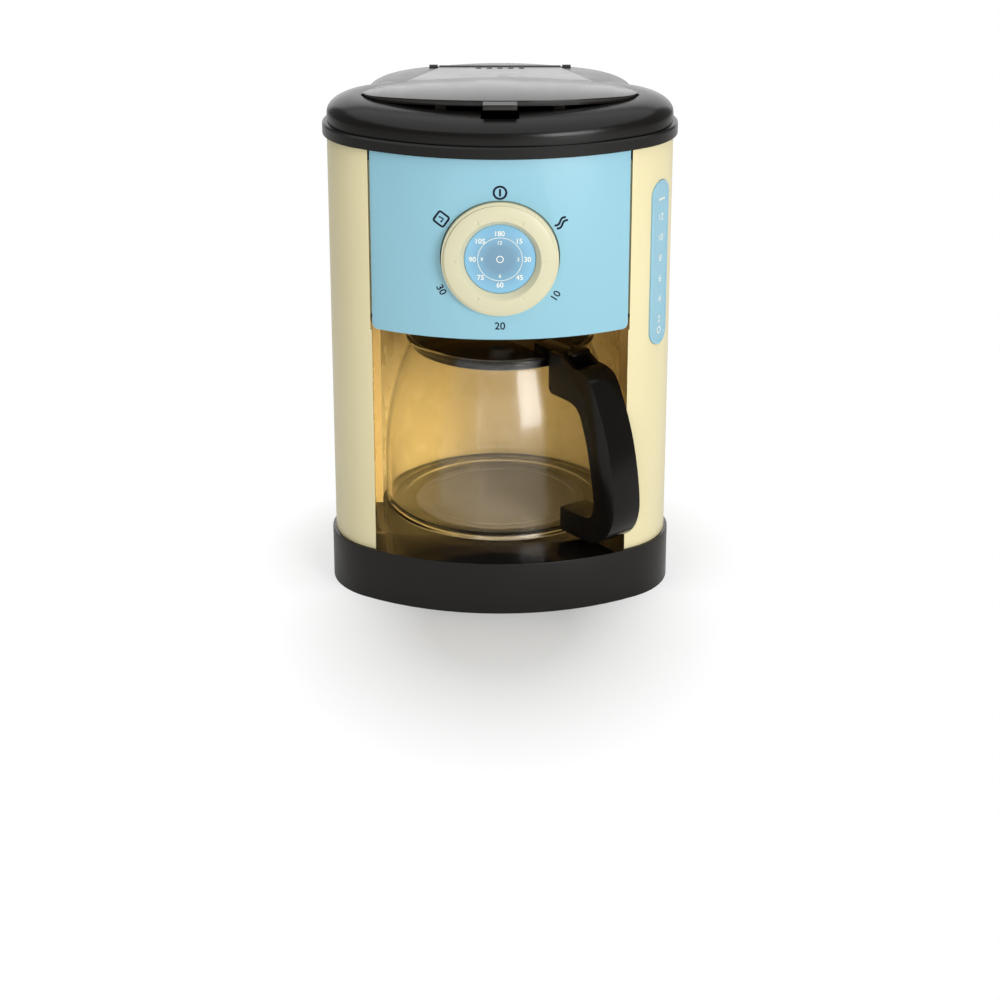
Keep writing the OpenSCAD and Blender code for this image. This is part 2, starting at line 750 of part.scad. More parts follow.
module outlet_pipe() {
    color("#e6e2d4") difference() {
        union() {
            translate([0, tap_port_y, pipe_bend_z])
                cylinder(r = spigot_r + screw_gap + pipe_wall, h = pipe_top - pipe_bend_z);
            translate([0, tap_port_y, pipe_bend_z]) sphere(r = spigot_r + screw_gap + pipe_wall);
            pipe_run([tap_port_y, pipe_bend_z], [back_y, pipe_bend_z - 1], pipe_r);
            translate([0, back_y, nozzle_bottom])
                cylinder(r = nozzle_r, h = pipe_bend_z - 1 + nozzle_r - nozzle_bottom);
            translate([0, back_y, bay_top + wall]) cylinder(r = nozzle_r + 5, h = 1.6);
        }
        translate([0, tap_port_y, pipe_bend_z]) cylinder(r = port_r, h = far);
        translate([0, tap_port_y, tap_out_z - seat_gap]) cylinder(r = spigot_r + screw_gap, h = far);
        pipe_run([tap_port_y, pipe_bend_z], [back_y, pipe_bend_z - 1], pipe_r - pipe_wall);
        translate([0, back_y, nozzle_bottom - 1])
            cylinder(r = nozzle_r - pipe_wall, h = pipe_bend_z - nozzle_bottom);
    }
}

// ---------- Dial ----------

seal_r = 0.8;
seal_places = [3.2, plug_len - 3.2];
ring_back = panel_y + seat_depth - 0.5;
crest_y = panel_y - dial_proud;
face_sink = 3.4;
face_t = 3.4;
web_t = 2.4;
groove_r = 0.8;
dial_screw_len = 9;
screw_seat_y = crest_y + face_sink + face_t;
stem_front = screw_seat_y + web_t;

module dial_shaft() {
    color("#d8d4c6") difference() {
        union() {
            rod_y(0, dial_z, shaft_r, stem_front, plug_front + tiny);
            rod_y(0, dial_z, plug_r, plug_front, tap_back - 0.3);
        }
        rod_y(0, dial_z, 3.6, plug_front + 3, 0);
        // The port points aside while the tap is shut
        translate([0, tap_port_y, dial_z]) rotate([0, 90, 0]) cylinder(r = port_r, h = 20);
        rod_y(0, dial_z, screw_bore, -far, stem_front + dial_screw_len);
        for (s = seal_places) translate([0, plug_front + s, dial_z]) rotate([-90, 0, 0]) difference() {
            cylinder(r = plug_r + 1, h = 2 * seal_r + 0.2, center = true);
            cylinder(r = plug_r - 2 * seal_r, h = 4, center = true);
        }
    }
}

module tap_seals() {
    color("#202020") for (s = seal_places)
        translate([0, plug_front + s, dial_z]) rotate([-90, 0, 0])
            rotate_extrude() translate([plug_r - seal_r, 0]) circle(r = seal_r, $fn = 24);
}

// Section of the dial as [radius, depth behind the crest]
ring_depth = ring_back - crest_y;
rim_depth = 3;
rim_step = 1.2;
crest_r = face_r + 2.5;
crest_curve = 22;
module ring_section() {
    difference() {
        union() {
            translate([0, rim_depth]) square([dial_r, ring_depth - rim_depth]);
            translate([face_r - 1, 0]) square([crest_r - face_r + 1 + tiny, ring_depth]);
            intersection() {
                translate([crest_r, 0]) square([dial_r - crest_r, ring_depth]);
                translate([crest_r, crest_curve]) circle(r = crest_curve);
            }
            translate([0, face_sink + face_t]) square([face_r + 1, web_t]);
        }
        translate([-1, -1]) square([face_r + seat_gap / 2 + 1, 1 + face_sink + face_t]);
        // The ring falls in a cone from its crest to the face
        polygon([[0, -tiny], [crest_r, -tiny], [face_r + seat_gap / 2, face_sink], [0, face_sink]]);
        translate([hub_r + 3, face_sink + face_t + web_t]) square([dial_r - wall - hub_r - 3, ring_depth]);
        translate([dial_r - rim_step, -1]) square([rim_step + 1, 1 + rim_depth - 0.6]);
    }
}

module dial_ring() {
    stud_at = stop_r * [-sin(dial_turn / 2), cos(dial_turn / 2)];
    color("#efe6bd") {
        difference() {
            translate([0, crest_y, dial_z]) rotate([-90, 0, 0]) rotate_extrude() ring_section();
            rod_y(0, dial_z, shaft_r + screw_gap, stem_front, 0);
            rod_y(0, dial_z, screw_bore + 0.2, -far, 0);
            for (i = [0:dial_grooves - 1]) translate([0, crest_y, dial_z])
                rotate([0, (i + 0.5) * 360 / dial_grooves, 0])
                    translate([0, -groove_r + 0.45, crest_r + 1]) rotate([4, 0, 0])
                        cylinder(r = groove_r, h = dial_r, $fn = 24);
        }
        rod_y(stud_at[0], dial_z + stud_at[1], stud_r, stem_front - tiny,
            panel_y + seat_depth + seat_floor - 0.2);
    }
}

module dial_face() {
    color("#6fa9c4") translate([0, crest_y + face_sink, dial_z]) rotate([-90, 0, 0]) difference() {
        cylinder(r = face_r, h = face_t);
        translate([0, 0, face_t - head_h - 0.4]) cylinder(r = head_r + 1, h = face_t);
    }
}

module dial_screw() {
    color("silver") translate([0, screw_seat_y, dial_z]) rotate([-90, 0, 0]) screw(dial_screw_len);
}

// ---------- Jug ----------

jug_z = deck_z + jug_lift;
rim_z = jug_z + jug_h;
rim_bead_r = 1.2;
foot_h = 0.6;
foot_ring_w = 9;
heel_r = 2.4;
inner_heel_r = 5;
jug_floor = foot_h + jug_wall;
jug_steps = 18;
// The neck, a short upright ring under the rim
neck_r = mouth_r - 0.6;
neck_h = jug_h - 6;
lip_lean = 25;

// Outside radius of the jug at height h above its foot
function jug_radius(h) = jug_r - (jug_r - neck_r)
    * pow(max(0, min(1, (h - belly_h) / (neck_h - belly_h))), 2.15);

// Half profile of the jug: a heel of radius r from level z0, and the wall set in by s
function jug_profile(r, z0, s) = concat(
    [for (a = [-90:15:0]) [jug_r - s - r, z0 + r] + r * [cos(a), sin(a)]],
    [for (i = [0:jug_steps]) let(h = belly_h + (neck_h - belly_h) * i / jug_steps)
        [jug_radius(h) - s, h]]);

module jug_turned(points) {
    translate([0, back_y, jug_z]) rotate_extrude($fn = 96) polygon(points);
}

// Outside of the jug, grown by g in radius
module jug_solid(g) {
    top = jug_h - rim_bead_r / 4;
    jug_turned(concat([[0, 0]], jug_profile(heel_r, 0, -g), [[neck_r + g, top], [0, top]]));
}

// Frame of the handle: +X runs out from the jug's axis
module at_handle() {
    translate([0, back_y, 0]) rotate([0, 0, handle_angle - 90]) children();
}

// A slanted rod through the rim, opposite the handle
module pouring_lip(r) {
    at_handle() translate([spout_r - mouth_r, 0, rim_z - 9]) rotate([0, -lip_lean, 0])
        cylinder(r = r, h = 14);
}

// Lug on the neck, inside the root of the handle
lug_half = 4;
lug_end = mouth_r + 12.7;
lug_z = rim_z - 12.8;
lug_h = 5.8;
lug_screw_x = mouth_r + 9.5;
lug_screw_end = lug_z + lug_h - 2.2;

module jug() {
    color("#cfd6cc", 0.35) difference() {
        union() {
            jug_solid(0);
            at_handle() translate([neck_r - jug_wall, -lug_half, lug_z])
                cube([lug_end - neck_r + jug_wall, 2 * lug_half, lug_h]);
            translate([0, back_y, rim_z - rim_bead_r]) rotate_extrude($fn = 96)
                translate([mouth_r - 0.3, 0]) circle(r = rim_bead_r, $fn = 24);
            intersection() {
                pouring_lip(spout_r);
                cylinder(r = far, h = rim_z);
            }
        }
        jug_turned(concat([[0, jug_floor]], jug_profile(inner_heel_r, jug_floor, jug_wall),
            [[neck_r - jug_wall, jug_h + 1], [0, jug_h + 1]]));
        pouring_lip(spout_r - jug_wall);
        translate([0, back_y, jug_z - 1]) cylinder(r = jug_r - foot_ring_w, h = foot_h + 1);
        at_handle() translate([lug_screw_x, 0, lug_z - 1])
            cylinder(r = screw_bore, h = lug_screw_end - lug_z + 1.2);
    }
}

// Handle. Its root has two ears for the pin of the jug's lid.
pin_x = mouth_r + 10.5;
pin_z = rim_z;
pin_r = 1.3;
ear_r = 4.3;
ear_flat = 3.2;
knuckle_half = 5;
handle_clear = 0.15;
root_x = mouth_r + 3.3;
root_z = rim_z - 16;
slot_end = mouth_r + 23.5;
pin_near = 2 - handle_t / 2;
pin_far = handle_t / 2 - 0.4;
// Sides of the grip as [distance in from its reach, share of the jug's height]
grip_outer = [[32.6, 1.013], [26.1, 1.008], [20.6, 0.987], [17.3, 0.944], [14.6, 0.888], [11.4, 0.818],
    [8.2, 0.737], [5.4, 0.649], [3.2, 0.554], [1.3, 0.447], [0.2, 0.346], [0.3, 0.262], [2.8, 0.178],
    [7.4, 0.115], [14.6, 0.067], [21.6, 0.054]];
grip_inner = [[30.1, 0.185], [22.4, 0.191], [19.2, 0.2], [16.3, 0.23], [15.3, 0.284], [16.2, 0.369],
    [18, 0.464], [20.4, 0.582], [23.4, 0.678], [26.4, 0.756], [29.9, 0.798], [35, 0.8135]];

function grip_side(points) = smooth_curve([for (p = points) [handle_reach - p[0], jug_z + p[1] * jug_h]], 3);

module handle_outline() {
    polygon(concat(grip_side(grip_outer),
        [[jug_r + 1.4, jug_z + 0.052 * jug_h], [jug_r + 1.4, jug_z + 0.184 * jug_h]],
        grip_side(grip_inner),
        [[root_x + 2, root_z - 0.3], [root_x, root_z + 1.7], [root_x, pin_z + ear_r]],
        arc([pin_x + ear_flat, pin_z], ear_r, 90, 62, 4)));
}

module jug_handle() {
    slot_half = knuckle_half + seat_gap;
    color("#232123") difference() {
        at_handle() difference() {
            rotate([90, 0, 0]) translate([0, 0, -handle_t / 2]) linear_extrude(handle_t) handle_outline();
            // Slot for the lid's knuckle, deeper behind the lug for its thumb lever
            translate([root_x - 1, -slot_half, pin_z - ear_r - 0.6])
                cube([slot_end - root_x + 1, 2 * slot_half, 30]);
            translate([lug_end + 1.7, -slot_half, pin_z - 9.2])
                cube([slot_end - lug_end - 1.7, 2 * slot_half, 30]);
            rod_y(pin_x, pin_z, pin_r + run_gap, pin_near, handle_t);
            // Pocket for the jug's lug, and the screw that holds it
            translate([root_x - 1, -lug_half - handle_clear, lug_z - handle_clear])
                cube([lug_end + seat_gap - root_x + 1, 2 * (lug_half + handle_clear),
                    lug_h + 2 * handle_clear]);
            translate([lug_screw_x, 0, root_z - 1]) cylinder(r = clear_bore, h = 10);
            translate([lug_screw_x, 0, root_z - 1]) cylinder(r = head_r + nest_gap, h = head_h + 1);
        }
        jug_solid(handle_clear);
    }
}

module handle_screw() {
    color("silver") at_handle() translate([lug_screw_x, 0, root_z + head_h])
        screw(lug_screw_end - root_z - head_h);
}

// Lid of the jug: a disc with a skirt inside the neck, an arm over the rim and a thumb lever
lid_disc_r = neck_r - jug_wall - 0.4;
lid_disc_t = 2;
lid_disc_z = rim_z - lid_disc_t - seat_gap;
skirt_h = 3.4;
skirt_t = 1.6;
drip_r = 6;
arm_start = lid_disc_r - 9;
arm_z = rim_z + 0.5;
arm_t = 3.6;
arm_foot_z = lid_disc_z + lid_disc_t / 2;
knuckle_r = ear_r - seat_gap;
// Side of the thumb lever, from the pin, as [out, up]
lever_side = [[0, 0], [knuckle_r - 0.2, 0], [4.5, 4.3], [8.1, 4.3], [8.1, 6.2], [7.1, 7.2],
    [2.3, 7.2], [1.3, 6.2], [1.3, 3.4], [0, 3.4]];

module jug_lid() {
    color("#1f1d1f") difference() {
        union() {
            translate([0, back_y, lid_disc_z]) cylinder(r = lid_disc_r, h = lid_disc_t);
            translate([0, back_y, lid_disc_z - skirt_h]) difference() {
                cylinder(r = lid_disc_r - 0.2, h = skirt_h + tiny);
                translate([0, 0, -1]) cylinder(r = lid_disc_r - 0.2 - skirt_t, h = skirt_h + 1);
            }
            at_handle() {
                translate([arm_start, -knuckle_half, arm_foot_z])
                    cube([lid_disc_r - 1 - arm_start, 2 * knuckle_half, arm_z + arm_t - arm_foot_z]);
                translate([arm_start, -knuckle_half, arm_z])
                    cube([pin_x - arm_start, 2 * knuckle_half, arm_t]);
                rod_y(pin_x, pin_z, knuckle_r, -knuckle_half, knuckle_half);
                rotate([90, 0, 0]) translate([pin_x, pin_z, -knuckle_half])
                    linear_extrude(2 * knuckle_half) polygon(lever_side);
            }
        }
        at_handle() rod_y(pin_x, pin_z, pin_r + run_gap, -handle_t, handle_t);
        translate([0, back_y, lid_disc_z - 1]) cylinder(r = drip_r, h = lid_disc_t + 2);
    }
}

module jug_lid_pin() {
    color("silver") at_handle() rod_y(pin_x, pin_z, pin_r, pin_near + seat_gap, pin_far);
}

base();
base_plate();
base_screws();
hotplate();
body_shell();
body_screws();
bay_liner();
front_panel();
level_gauge();
top_cover();
lid();
reservoir();
tank_gasket();
tap_body();
tap_screws();
outlet_pipe();
dial_shaft();
tap_seals();
dial_ring();
dial_face();
dial_screw();
jug();
jug_handle();
handle_screw();
jug_lid();
jug_lid_pin();
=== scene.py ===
# Dresses the toy coffee maker: soft edges, finishes, printed marks, clear jug, lights and camera.
# Metres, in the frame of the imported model: +Z up, -Y is the front, the table is z = 0.
import json
import math

import bpy
from mathutils import Matrix, Vector


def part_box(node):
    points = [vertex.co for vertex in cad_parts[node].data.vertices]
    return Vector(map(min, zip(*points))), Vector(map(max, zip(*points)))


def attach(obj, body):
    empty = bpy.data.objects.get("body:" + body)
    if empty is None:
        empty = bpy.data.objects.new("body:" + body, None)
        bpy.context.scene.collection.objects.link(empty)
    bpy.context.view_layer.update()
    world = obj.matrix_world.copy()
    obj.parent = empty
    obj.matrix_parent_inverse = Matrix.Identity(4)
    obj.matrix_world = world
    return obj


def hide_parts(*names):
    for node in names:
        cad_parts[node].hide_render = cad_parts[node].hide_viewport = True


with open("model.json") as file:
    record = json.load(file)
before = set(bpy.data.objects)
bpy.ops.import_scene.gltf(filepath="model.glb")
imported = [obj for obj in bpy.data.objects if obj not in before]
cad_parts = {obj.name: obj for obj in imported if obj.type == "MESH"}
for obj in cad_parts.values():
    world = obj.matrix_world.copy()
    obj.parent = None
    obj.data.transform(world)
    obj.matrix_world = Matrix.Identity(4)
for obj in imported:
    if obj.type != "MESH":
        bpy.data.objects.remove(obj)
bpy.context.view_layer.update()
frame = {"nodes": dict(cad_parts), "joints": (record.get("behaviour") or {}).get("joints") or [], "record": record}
NODES = frame["nodes"]

bl_info = {
    "name": "Toy coffee maker",
    "version": (1, 0, 0),
    "blender": (4, 5, 0),
    "location": "View3D > Sidebar > Coffee maker",
    "description": "Builds the finished look of a toy coffee maker over its construction model",
    "category": "Object",
}

MM = 0.001

# Places taken from the frame
DIAL_Z = next(j for j in frame["joints"] if j["name"] == "dial_turn")["pos_m"][2]
PANEL_FACE_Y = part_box("front_panel")[0][1]
FACE_LOW, FACE_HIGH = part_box("dial_face")


# ---------- Sizes and colours that a user would change ----------

class MakerSizes(bpy.types.PropertyGroup):
    """Roundings of the edges and sizes of the print"""
    base_edge: bpy.props.FloatProperty(
        name="Base edge", description="Rounding of the base's edges",
        default=0.8 * MM, min=0.1 * MM, max=2 * MM, unit="LENGTH", precision=5)
    shell_edge: bpy.props.FloatProperty(
        name="Shell edge", description="Rounding of the edges of the thin mouldings",
        default=0.45 * MM, min=0.1 * MM, max=1 * MM, unit="LENGTH", precision=5)
    handle_edge: bpy.props.FloatProperty(
        name="Handle edge", description="Rounding of the long edges of the jug's handle",
        default=1.6 * MM, min=0.3 * MM, max=3 * MM, unit="LENGTH", precision=5)
    print_depth: bpy.props.FloatProperty(
        name="Print thickness", description="Thickness of the printed marks",
        default=0.08 * MM, min=0.02 * MM, max=0.3 * MM, unit="LENGTH", precision=5)
    dial_number: bpy.props.FloatProperty(
        name="Dial numbers", description="Height of the outer numbers on the dial's face",
        default=2.3 * MM, min=1 * MM, max=4 * MM, unit="LENGTH", precision=5)
    gauge_number: bpy.props.FloatProperty(
        name="Gauge numbers", description="Height of the numbers on the level gauge",
        default=3.2 * MM, min=1 * MM, max=5 * MM, unit="LENGTH", precision=5)
    panel_number: bpy.props.FloatProperty(
        name="Panel numbers", description="Height of the numbers printed round the dial",
        default=3.4 * MM, min=2 * MM, max=6 * MM, unit="LENGTH", precision=5)


class MakerColours(bpy.types.PropertyGroup):
    """Colours of the plastics and of the print"""
    cream: bpy.props.FloatVectorProperty(
        name="Cream", description="Body", subtype="COLOR", size=3,
        default=(0.745, 0.665, 0.40), min=0, max=1)
    dial_cream: bpy.props.FloatVectorProperty(
        name="Dial cream", description="Ring of the dial", subtype="COLOR", size=3,
        default=(0.635, 0.605, 0.415), min=0, max=1)
    # The bay's deep amber is painted shade and painted bounce light on the body's cream plastic
    bay: bpy.props.FloatVectorProperty(
        name="Bay", description="Walls of the jug bay", subtype="COLOR", size=3,
        default=(0.87, 0.60, 0.20), min=0, max=1)
    blue: bpy.props.FloatVectorProperty(
        name="Panel blue", description="Front panel", subtype="COLOR", size=3,
        default=(0.265, 0.515, 0.62), min=0, max=1)
    # The two face blues make painted shading: darker and greyer in the middle, lighter and bluer towards the edge,
    # standing for the reflections of the domed face
    face_blue: bpy.props.FloatVectorProperty(
        name="Face blue", description="Middle of the dial's face", subtype="COLOR", size=3,
        default=(0.15, 0.295, 0.42), min=0, max=1)
    face_edge: bpy.props.FloatVectorProperty(
        name="Face edge blue", description="Edge of the dial's face", subtype="COLOR", size=3,
        default=(0.218, 0.486, 0.69), min=0, max=1)
    gauge_blue: bpy.props.FloatVectorProperty(
        name="Gauge blue", description="Level gauge", subtype="COLOR", size=3,
        default=(0.27, 0.50, 0.61), min=0, max=1)
    black: bpy.props.FloatVectorProperty(
        name="Black", description="Base, cover, lid and handle", subtype="COLOR", size=3,
        default=(0.008, 0.0065, 0.0055), min=0, max=1)
    print_black: bpy.props.FloatVectorProperty(
        name="Dark print", description="Marks on the front panel", subtype="COLOR", size=3,
        default=(0.012, 0.014, 0.03), min=0, max=1)
    print_white: bpy.props.FloatVectorProperty(
        name="Pale print", description="Numbers on the dial and the gauge", subtype="COLOR", size=3,
        default=(0.88, 0.88, 0.78), min=0, max=1)


def sizes():
    """The sizes that are set now."""
    return bpy.context.scene.maker_sizes


def colours():
    """The colours that are set now."""
    return bpy.context.scene.maker_colours


def palette():
    """The colours of the moulded pieces, with the two that a user doesn't change."""
    c = colours()
    return {
        "cream": c.cream, "dial_cream": c.dial_cream, "bay": c.bay, "blue": c.blue,
        "gauge_blue": c.gauge_blue, "black": c.black,
        "hotplate": (0.20, 0.17, 0.13), "inner": (0.72, 0.68, 0.58),
    }


# ---------- Shader tools ----------

# Noises: waves per metre and detail
TONE_NOISE = (14, 2)
FLOW_NOISE = (22, 1)
POLISH_NOISE = (60, 3)
GRAIN_NOISE = (2600, 2)
INK_NOISE = (900, 3)
JUG_POLISH_NOISE = (35, 2)
JUG_FLOW_NOISE = (26, 1)
STEEL_NOISE = (1500, 3)
DUST_NOISE = (700, 4)
PAPER_NOISE = (3, 2)

# Nearly all values of a noise lie between these
NOISE_LOW = 0.3
NOISE_HIGH = 0.7

# Heights of the reliefs
FLOW_DEPTH = 1.5 * MM
JUG_FLOW_DEPTH = 2 * MM
GRAIN_DEPTH = 0.2 * MM

# Sockets of the node that mixes two colours
MIX_SHARE, MIX_DARK, MIX_LIGHT, MIX_RESULT = 0, 6, 7, 2

WHITE = (1, 1, 1, 1)


def new_material(name, surface_of):
    """A node material with the surface that surface_of builds in its tree."""
    material = bpy.data.materials.new(name)
    material.use_nodes = True
    tree = material.node_tree
    tree.nodes.clear()
    out = tree.nodes.new("ShaderNodeOutputMaterial")
    tree.links.new(surface_of(tree), out.inputs["Surface"])
    return material


def add_node(tree, kind, values=None, links=None):
    """Adds a node, sets the inputs named in values and joins the ones named in links."""
    node = tree.nodes.new(kind)
    for key, value in (values or {}).items():
        node.inputs[key].default_value = value
    for key, socket in (links or {}).items():
        tree.links.new(socket, node.inputs[key])
    return node


def principled(tree, values, links):
    """A principled shader, ready to be joined."""
    return add_node(tree, "ShaderNodeBsdfPrincipled", values, links).outputs["BSDF"]


def blend(tree, share, first, second):
    """Goes from the first shader to the second as the share rises."""
    mix = add_node(tree, "ShaderNodeMixShader", links={"Fac": share, 1: first, 2: second})
    return mix.outputs["Shader"]


def combine(tree, operation, first, second):
    """One value worked out from two."""
    node = tree.nodes.new("ShaderNodeMath")
    node.operation = operation
    tree.links.new(first, node.inputs[0])
    tree.links.new(second, node.inputs[1])
    return node.outputs["Value"]


def seen_by_eye(tree):
    """1 for what the camera sees, straight or through the jug, and 0 for other rays."""
    path = tree.nodes.new("ShaderNodeLightPath")
    return combine(tree, "MAXIMUM", path.outputs["Is Camera Ray"],
                   path.outputs["Is Transmission Ray"])


def noise(tree, scale, detail, rough=0.5, stretch=(1, 1, 1)):
    """Noise in the object's own coordinates."""
    place = tree.nodes.new("ShaderNodeTexCoord")
    spread = add_node(tree, "ShaderNodeMapping", {"Scale": stretch},
                      {"Vector": place.outputs["Object"]})
    texture = add_node(tree, "ShaderNodeTexNoise",
                       {"Scale": scale, "Detail": detail, "Roughness": rough},
                       {"Vector": spread.outputs["Vector"]})
    return texture.outputs["Fac"]


def between(tree, value, low, high):
    """Maps a noise value to low..high."""
    span = add_node(tree, "ShaderNodeMapRange", {
        "From Min": NOISE_LOW, "From Max": NOISE_HIGH, "To Min": low, "To Max": high,
    }, {"Value": value})
    return span.outputs["Result"]


def two_tone(tree, value, dark, light):
    """A colour that drifts between two tones."""
    mix = tree.nodes.new("ShaderNodeMix")
    mix.data_type = "RGBA"
    mix.inputs[MIX_DARK].default_value = (*dark, 1)
    mix.inputs[MIX_LIGHT].default_value = (*light, 1)
    tree.links.new(value, mix.inputs[MIX_SHARE])
    return mix.outputs[MIX_RESULT]


def bump(tree, value, strength, distance, under=None):
    """A relief, on top of another one where that is given."""
    links = {"Height": value}
    if under is not None:
        links["Normal"] = under
    relief = add_node(tree, "ShaderNodeBump", {"Strength": strength, "Distance": distance}, links)
    return relief.outputs["Normal"]


def rise_from(tree, middle, half, start, end, low):
    """Rises from low to 1 between two shares of an oval ball round the middle."""
    place = tree.nodes.new("ShaderNodeTexCoord")
    spread = add_node(tree, "ShaderNodeMapping", {
        "Location": [-m / h for m, h in zip(middle, half)],
        "Scale": [1 / h for h in half],
    }, {"Vector": place.outputs["Object"]})
    ball = add_node(tree, "ShaderNodeTexGradient", links={"Vector": spread.outputs["Vector"]})
    ball.gradient_type = "SPHERICAL"
    fade = add_node(tree, "ShaderNodeMapRange", {
        "From Min": 1 - end, "From Max": 1 - start, "To Min": 1.0, "To Max": low,
    }, {"Value": ball.outputs["Fac"]})
    return fade.outputs["Result"]


# ---------- Finishes ----------

# Moulded plastics: colour, share of it, roughness from and to, drift of the tone, and what else
# differs from the plain kind
PLASTICS = {
    "cream_body": ("cream", 1, (0.30, 0.38), 0.02, {"grain": 0.05}),
    "cream_dial": ("dial_cream", 1, (0.30, 0.38), 0.02, {"grain": 0.05}),
    # The bay walls' amber is painted shade and painted bounce light on the cream plastic
    "bay_shaded_cream": ("bay", 1, (0.24, 0.32), 0.02, {"flow": 0.004}),
    "panel_blue": ("blue", 1, (0.30, 0.38), 0.015, {"grain": 0.05}),
    "gauge_blue": ("gauge_blue", 1, (0.18, 0.24), 0.03, {}),
    "black_satin": ("black", 1, (0.30, 0.40), 0.12, {"grain": 0.06, "shine": 0.3}),
    "black_gloss": ("black", 0.5, (0.22, 0.28), 0.12, {"shine": 0.34}),
    "deck_gloss": ("black", 0.5, (0.05, 0.08), 0.1, {}),
    "lid_gloss": ("black", 1.3, (0.16, 0.21), 0.12, {}),
    "black_deep": ("black", 0.2, (0.12, 0.18), 0.12, {"shine": 0.25}),
    "handle_black": ("black", 0.6, (0.15, 0.20), 0.12, {"grain": 0.02, "shine": 0.2}),
    "hotplate_dark": ("hotplate", 1, (0.35, 0.5), 0.1, {"grain": 0.15}),
    "inner_plastic": ("inner", 1, (0.4, 0.5), 0.03, {"grain": 0.05}),
}

# How much of the gauge's blue shows through the print on it
FAINT_SHARE = 0.35


def moulded_plastic(tree, colour, share, rough, drift, grain=0.0, flow=0.02, shine=0.5):
    """Injection moulded plastic: a slight drift of tone, soft waves and, where set, a grain."""
    tone = [value * share for value in palette()[colour]]
    dark = [value * (1 - drift) for value in tone]
    light = [min(1, value * (1 + drift)) for value in tone]
    relief = bump(tree, noise(tree, *FLOW_NOISE), flow, FLOW_DEPTH)
    if grain:
        relief = bump(tree, noise(tree, *GRAIN_NOISE), grain, GRAIN_DEPTH, relief)
    broad = between(tree, noise(tree, *TONE_NOISE), 0, 1)
    return principled(tree, {"IOR": 1.5, "Specular IOR Level": shine}, {
        "Base Color": two_tone(tree, broad, dark, light),
        "Roughness": between(tree, noise(tree, *POLISH_NOISE), *rough),
        "Normal": relief,
    })


def dial_face_painted_shade(tree):
    """Polished face of the dial, with painted shading: darker in the middle and lighter towards the edge."""
    c = colours()
    radius = (FACE_HIGH[0] - FACE_LOW[0]) / 2
    # Painted shading: the face goes from the darker middle blue to the lighter edge blue
    towards_edge = rise_from(tree, (0, FACE_LOW[1], DIAL_Z), (radius,) * 3,
                             start=0.35, end=0.9, low=0.0)
    return principled(tree, {"Coat Weight": 0.6, "Coat Roughness": 0.05}, {
        "Base Color": two_tone(tree, towards_edge, c.face_blue, c.face_edge),
        "Roughness": between(tree, noise(tree, *POLISH_NOISE), 0.08, 0.12),
    })


def printed_ink(tree, colour):
    """Pad printed ink: nearly even, with a slightly uneven film."""
    film = noise(tree, *INK_NOISE)
    dark = [value * 0.9 for value in colour]
    return principled(tree, {"Specular IOR Level": 0.12}, {
        "Base Color": two_tone(tree, between(tree, film, 0, 1), dark, colour),
        "Roughness": between(tree, film, 0.38, 0.5),
    })


def faint_print(tree):
    """The pale ink where the gauge's blue shows through it."""
    c = colours()
    mixed = [FAINT_SHARE * blue + (1 - FAINT_SHARE) * white
             for blue, white in zip(c.gauge_blue, c.print_white)]
    return printed_ink(tree, mixed)


def clear_plastic(tree):
    """Clear moulded plastic that lets light through to what stands behind it."""
    waves = noise(tree, *JUG_FLOW_NOISE, stretch=(1, 1, 0.35))
    body = principled(tree, {
        "Base Color": (1.0, 0.99, 0.955, 1), "Transmission Weight": 1.0, "IOR": 1.22,
        "Coat Weight": 0.5, "Coat Roughness": 0.2,
    }, {
        "Roughness": between(tree, noise(tree, *JUG_POLISH_NOISE), 0.05, 0.08),
        "Normal": bump(tree, waves, 0.05, JUG_FLOW_DEPTH),
    })
    clear = add_node(tree, "ShaderNodeBsdfTransparent", {"Color": (1.0, 0.995, 0.98, 1)})
    path = tree.nodes.new("ShaderNodeLightPath")
    return blend(tree, path.outputs["Is Shadow Ray"], body, clear.outputs["BSDF"])


def plated_steel(tree):
    """Zinc plated steel of the screws and the pin."""
    scratches = noise(tree, *STEEL_NOISE, rough=0.6, stretch=(1, 1, 0.1))
    return principled(tree, {"Metallic": 1.0}, {
        "Base Color": two_tone(tree, between(tree, scratches, 0, 1),
                               (0.50, 0.50, 0.48), (0.62, 0.62, 0.60)),
        "Roughness": between(tree, scratches, 0.25, 0.42),
    })


def soft_rubber(tree):
    """Dusty black rubber of the seals."""
    dust = noise(tree, *DUST_NOISE)
    return principled(tree, {}, {
        "Base Color": two_tone(tree, between(tree, dust, 0, 1), (0.012,) * 3, (0.03,) * 3),
        "Roughness": between(tree, dust, 0.6, 0.75),
    })


OTHER_FINISHES = {
    "dial_face_blue": dial_face_painted_shade,
    "print_black": lambda tree: printed_ink(tree, colours().print_black),
    "print_white": lambda tree: printed_ink(tree, colours().print_white),
    "print_faint": faint_print,
    "clear_jug": clear_plastic,
    "plated_steel": plated_steel,
    "seal_rubber": soft_rubber,
}
FINISHES = {}


def surface_maker(name):
    """What builds the surface of a finish in a node tree."""
    if name in PLASTICS:
        *basic, special = PLASTICS[name]
        return lambda tree: moulded_plastic(tree, *basic, **special)
    return OTHER_FINISHES[name]


def finish(name):
    """The object's finishes, each made once."""
    if name not in FINISHES:
        FINISHES[name] = new_material(name, surface_maker(name))
    return FINISHES[name]


def paint(piece, name):
    """Gives a piece one finish all over."""
    piece.data.materials.clear()
    piece.data.materials.append(finish(name))


# ---------- Mesh tools ----------

# How a CAD copy is cleaned, with the angles in degrees
MERGE_DISTANCE = 0.004 * MM
FLAT_ANGLE = 0.4
BEVEL_ANGLE = 32
SMOOTH_ANGLE = 30

# Share of the font's size that a figure is tall, and how much bolder it is made
FIGURE_SHARE = 0.69
BOLD_SHARE = 0.02


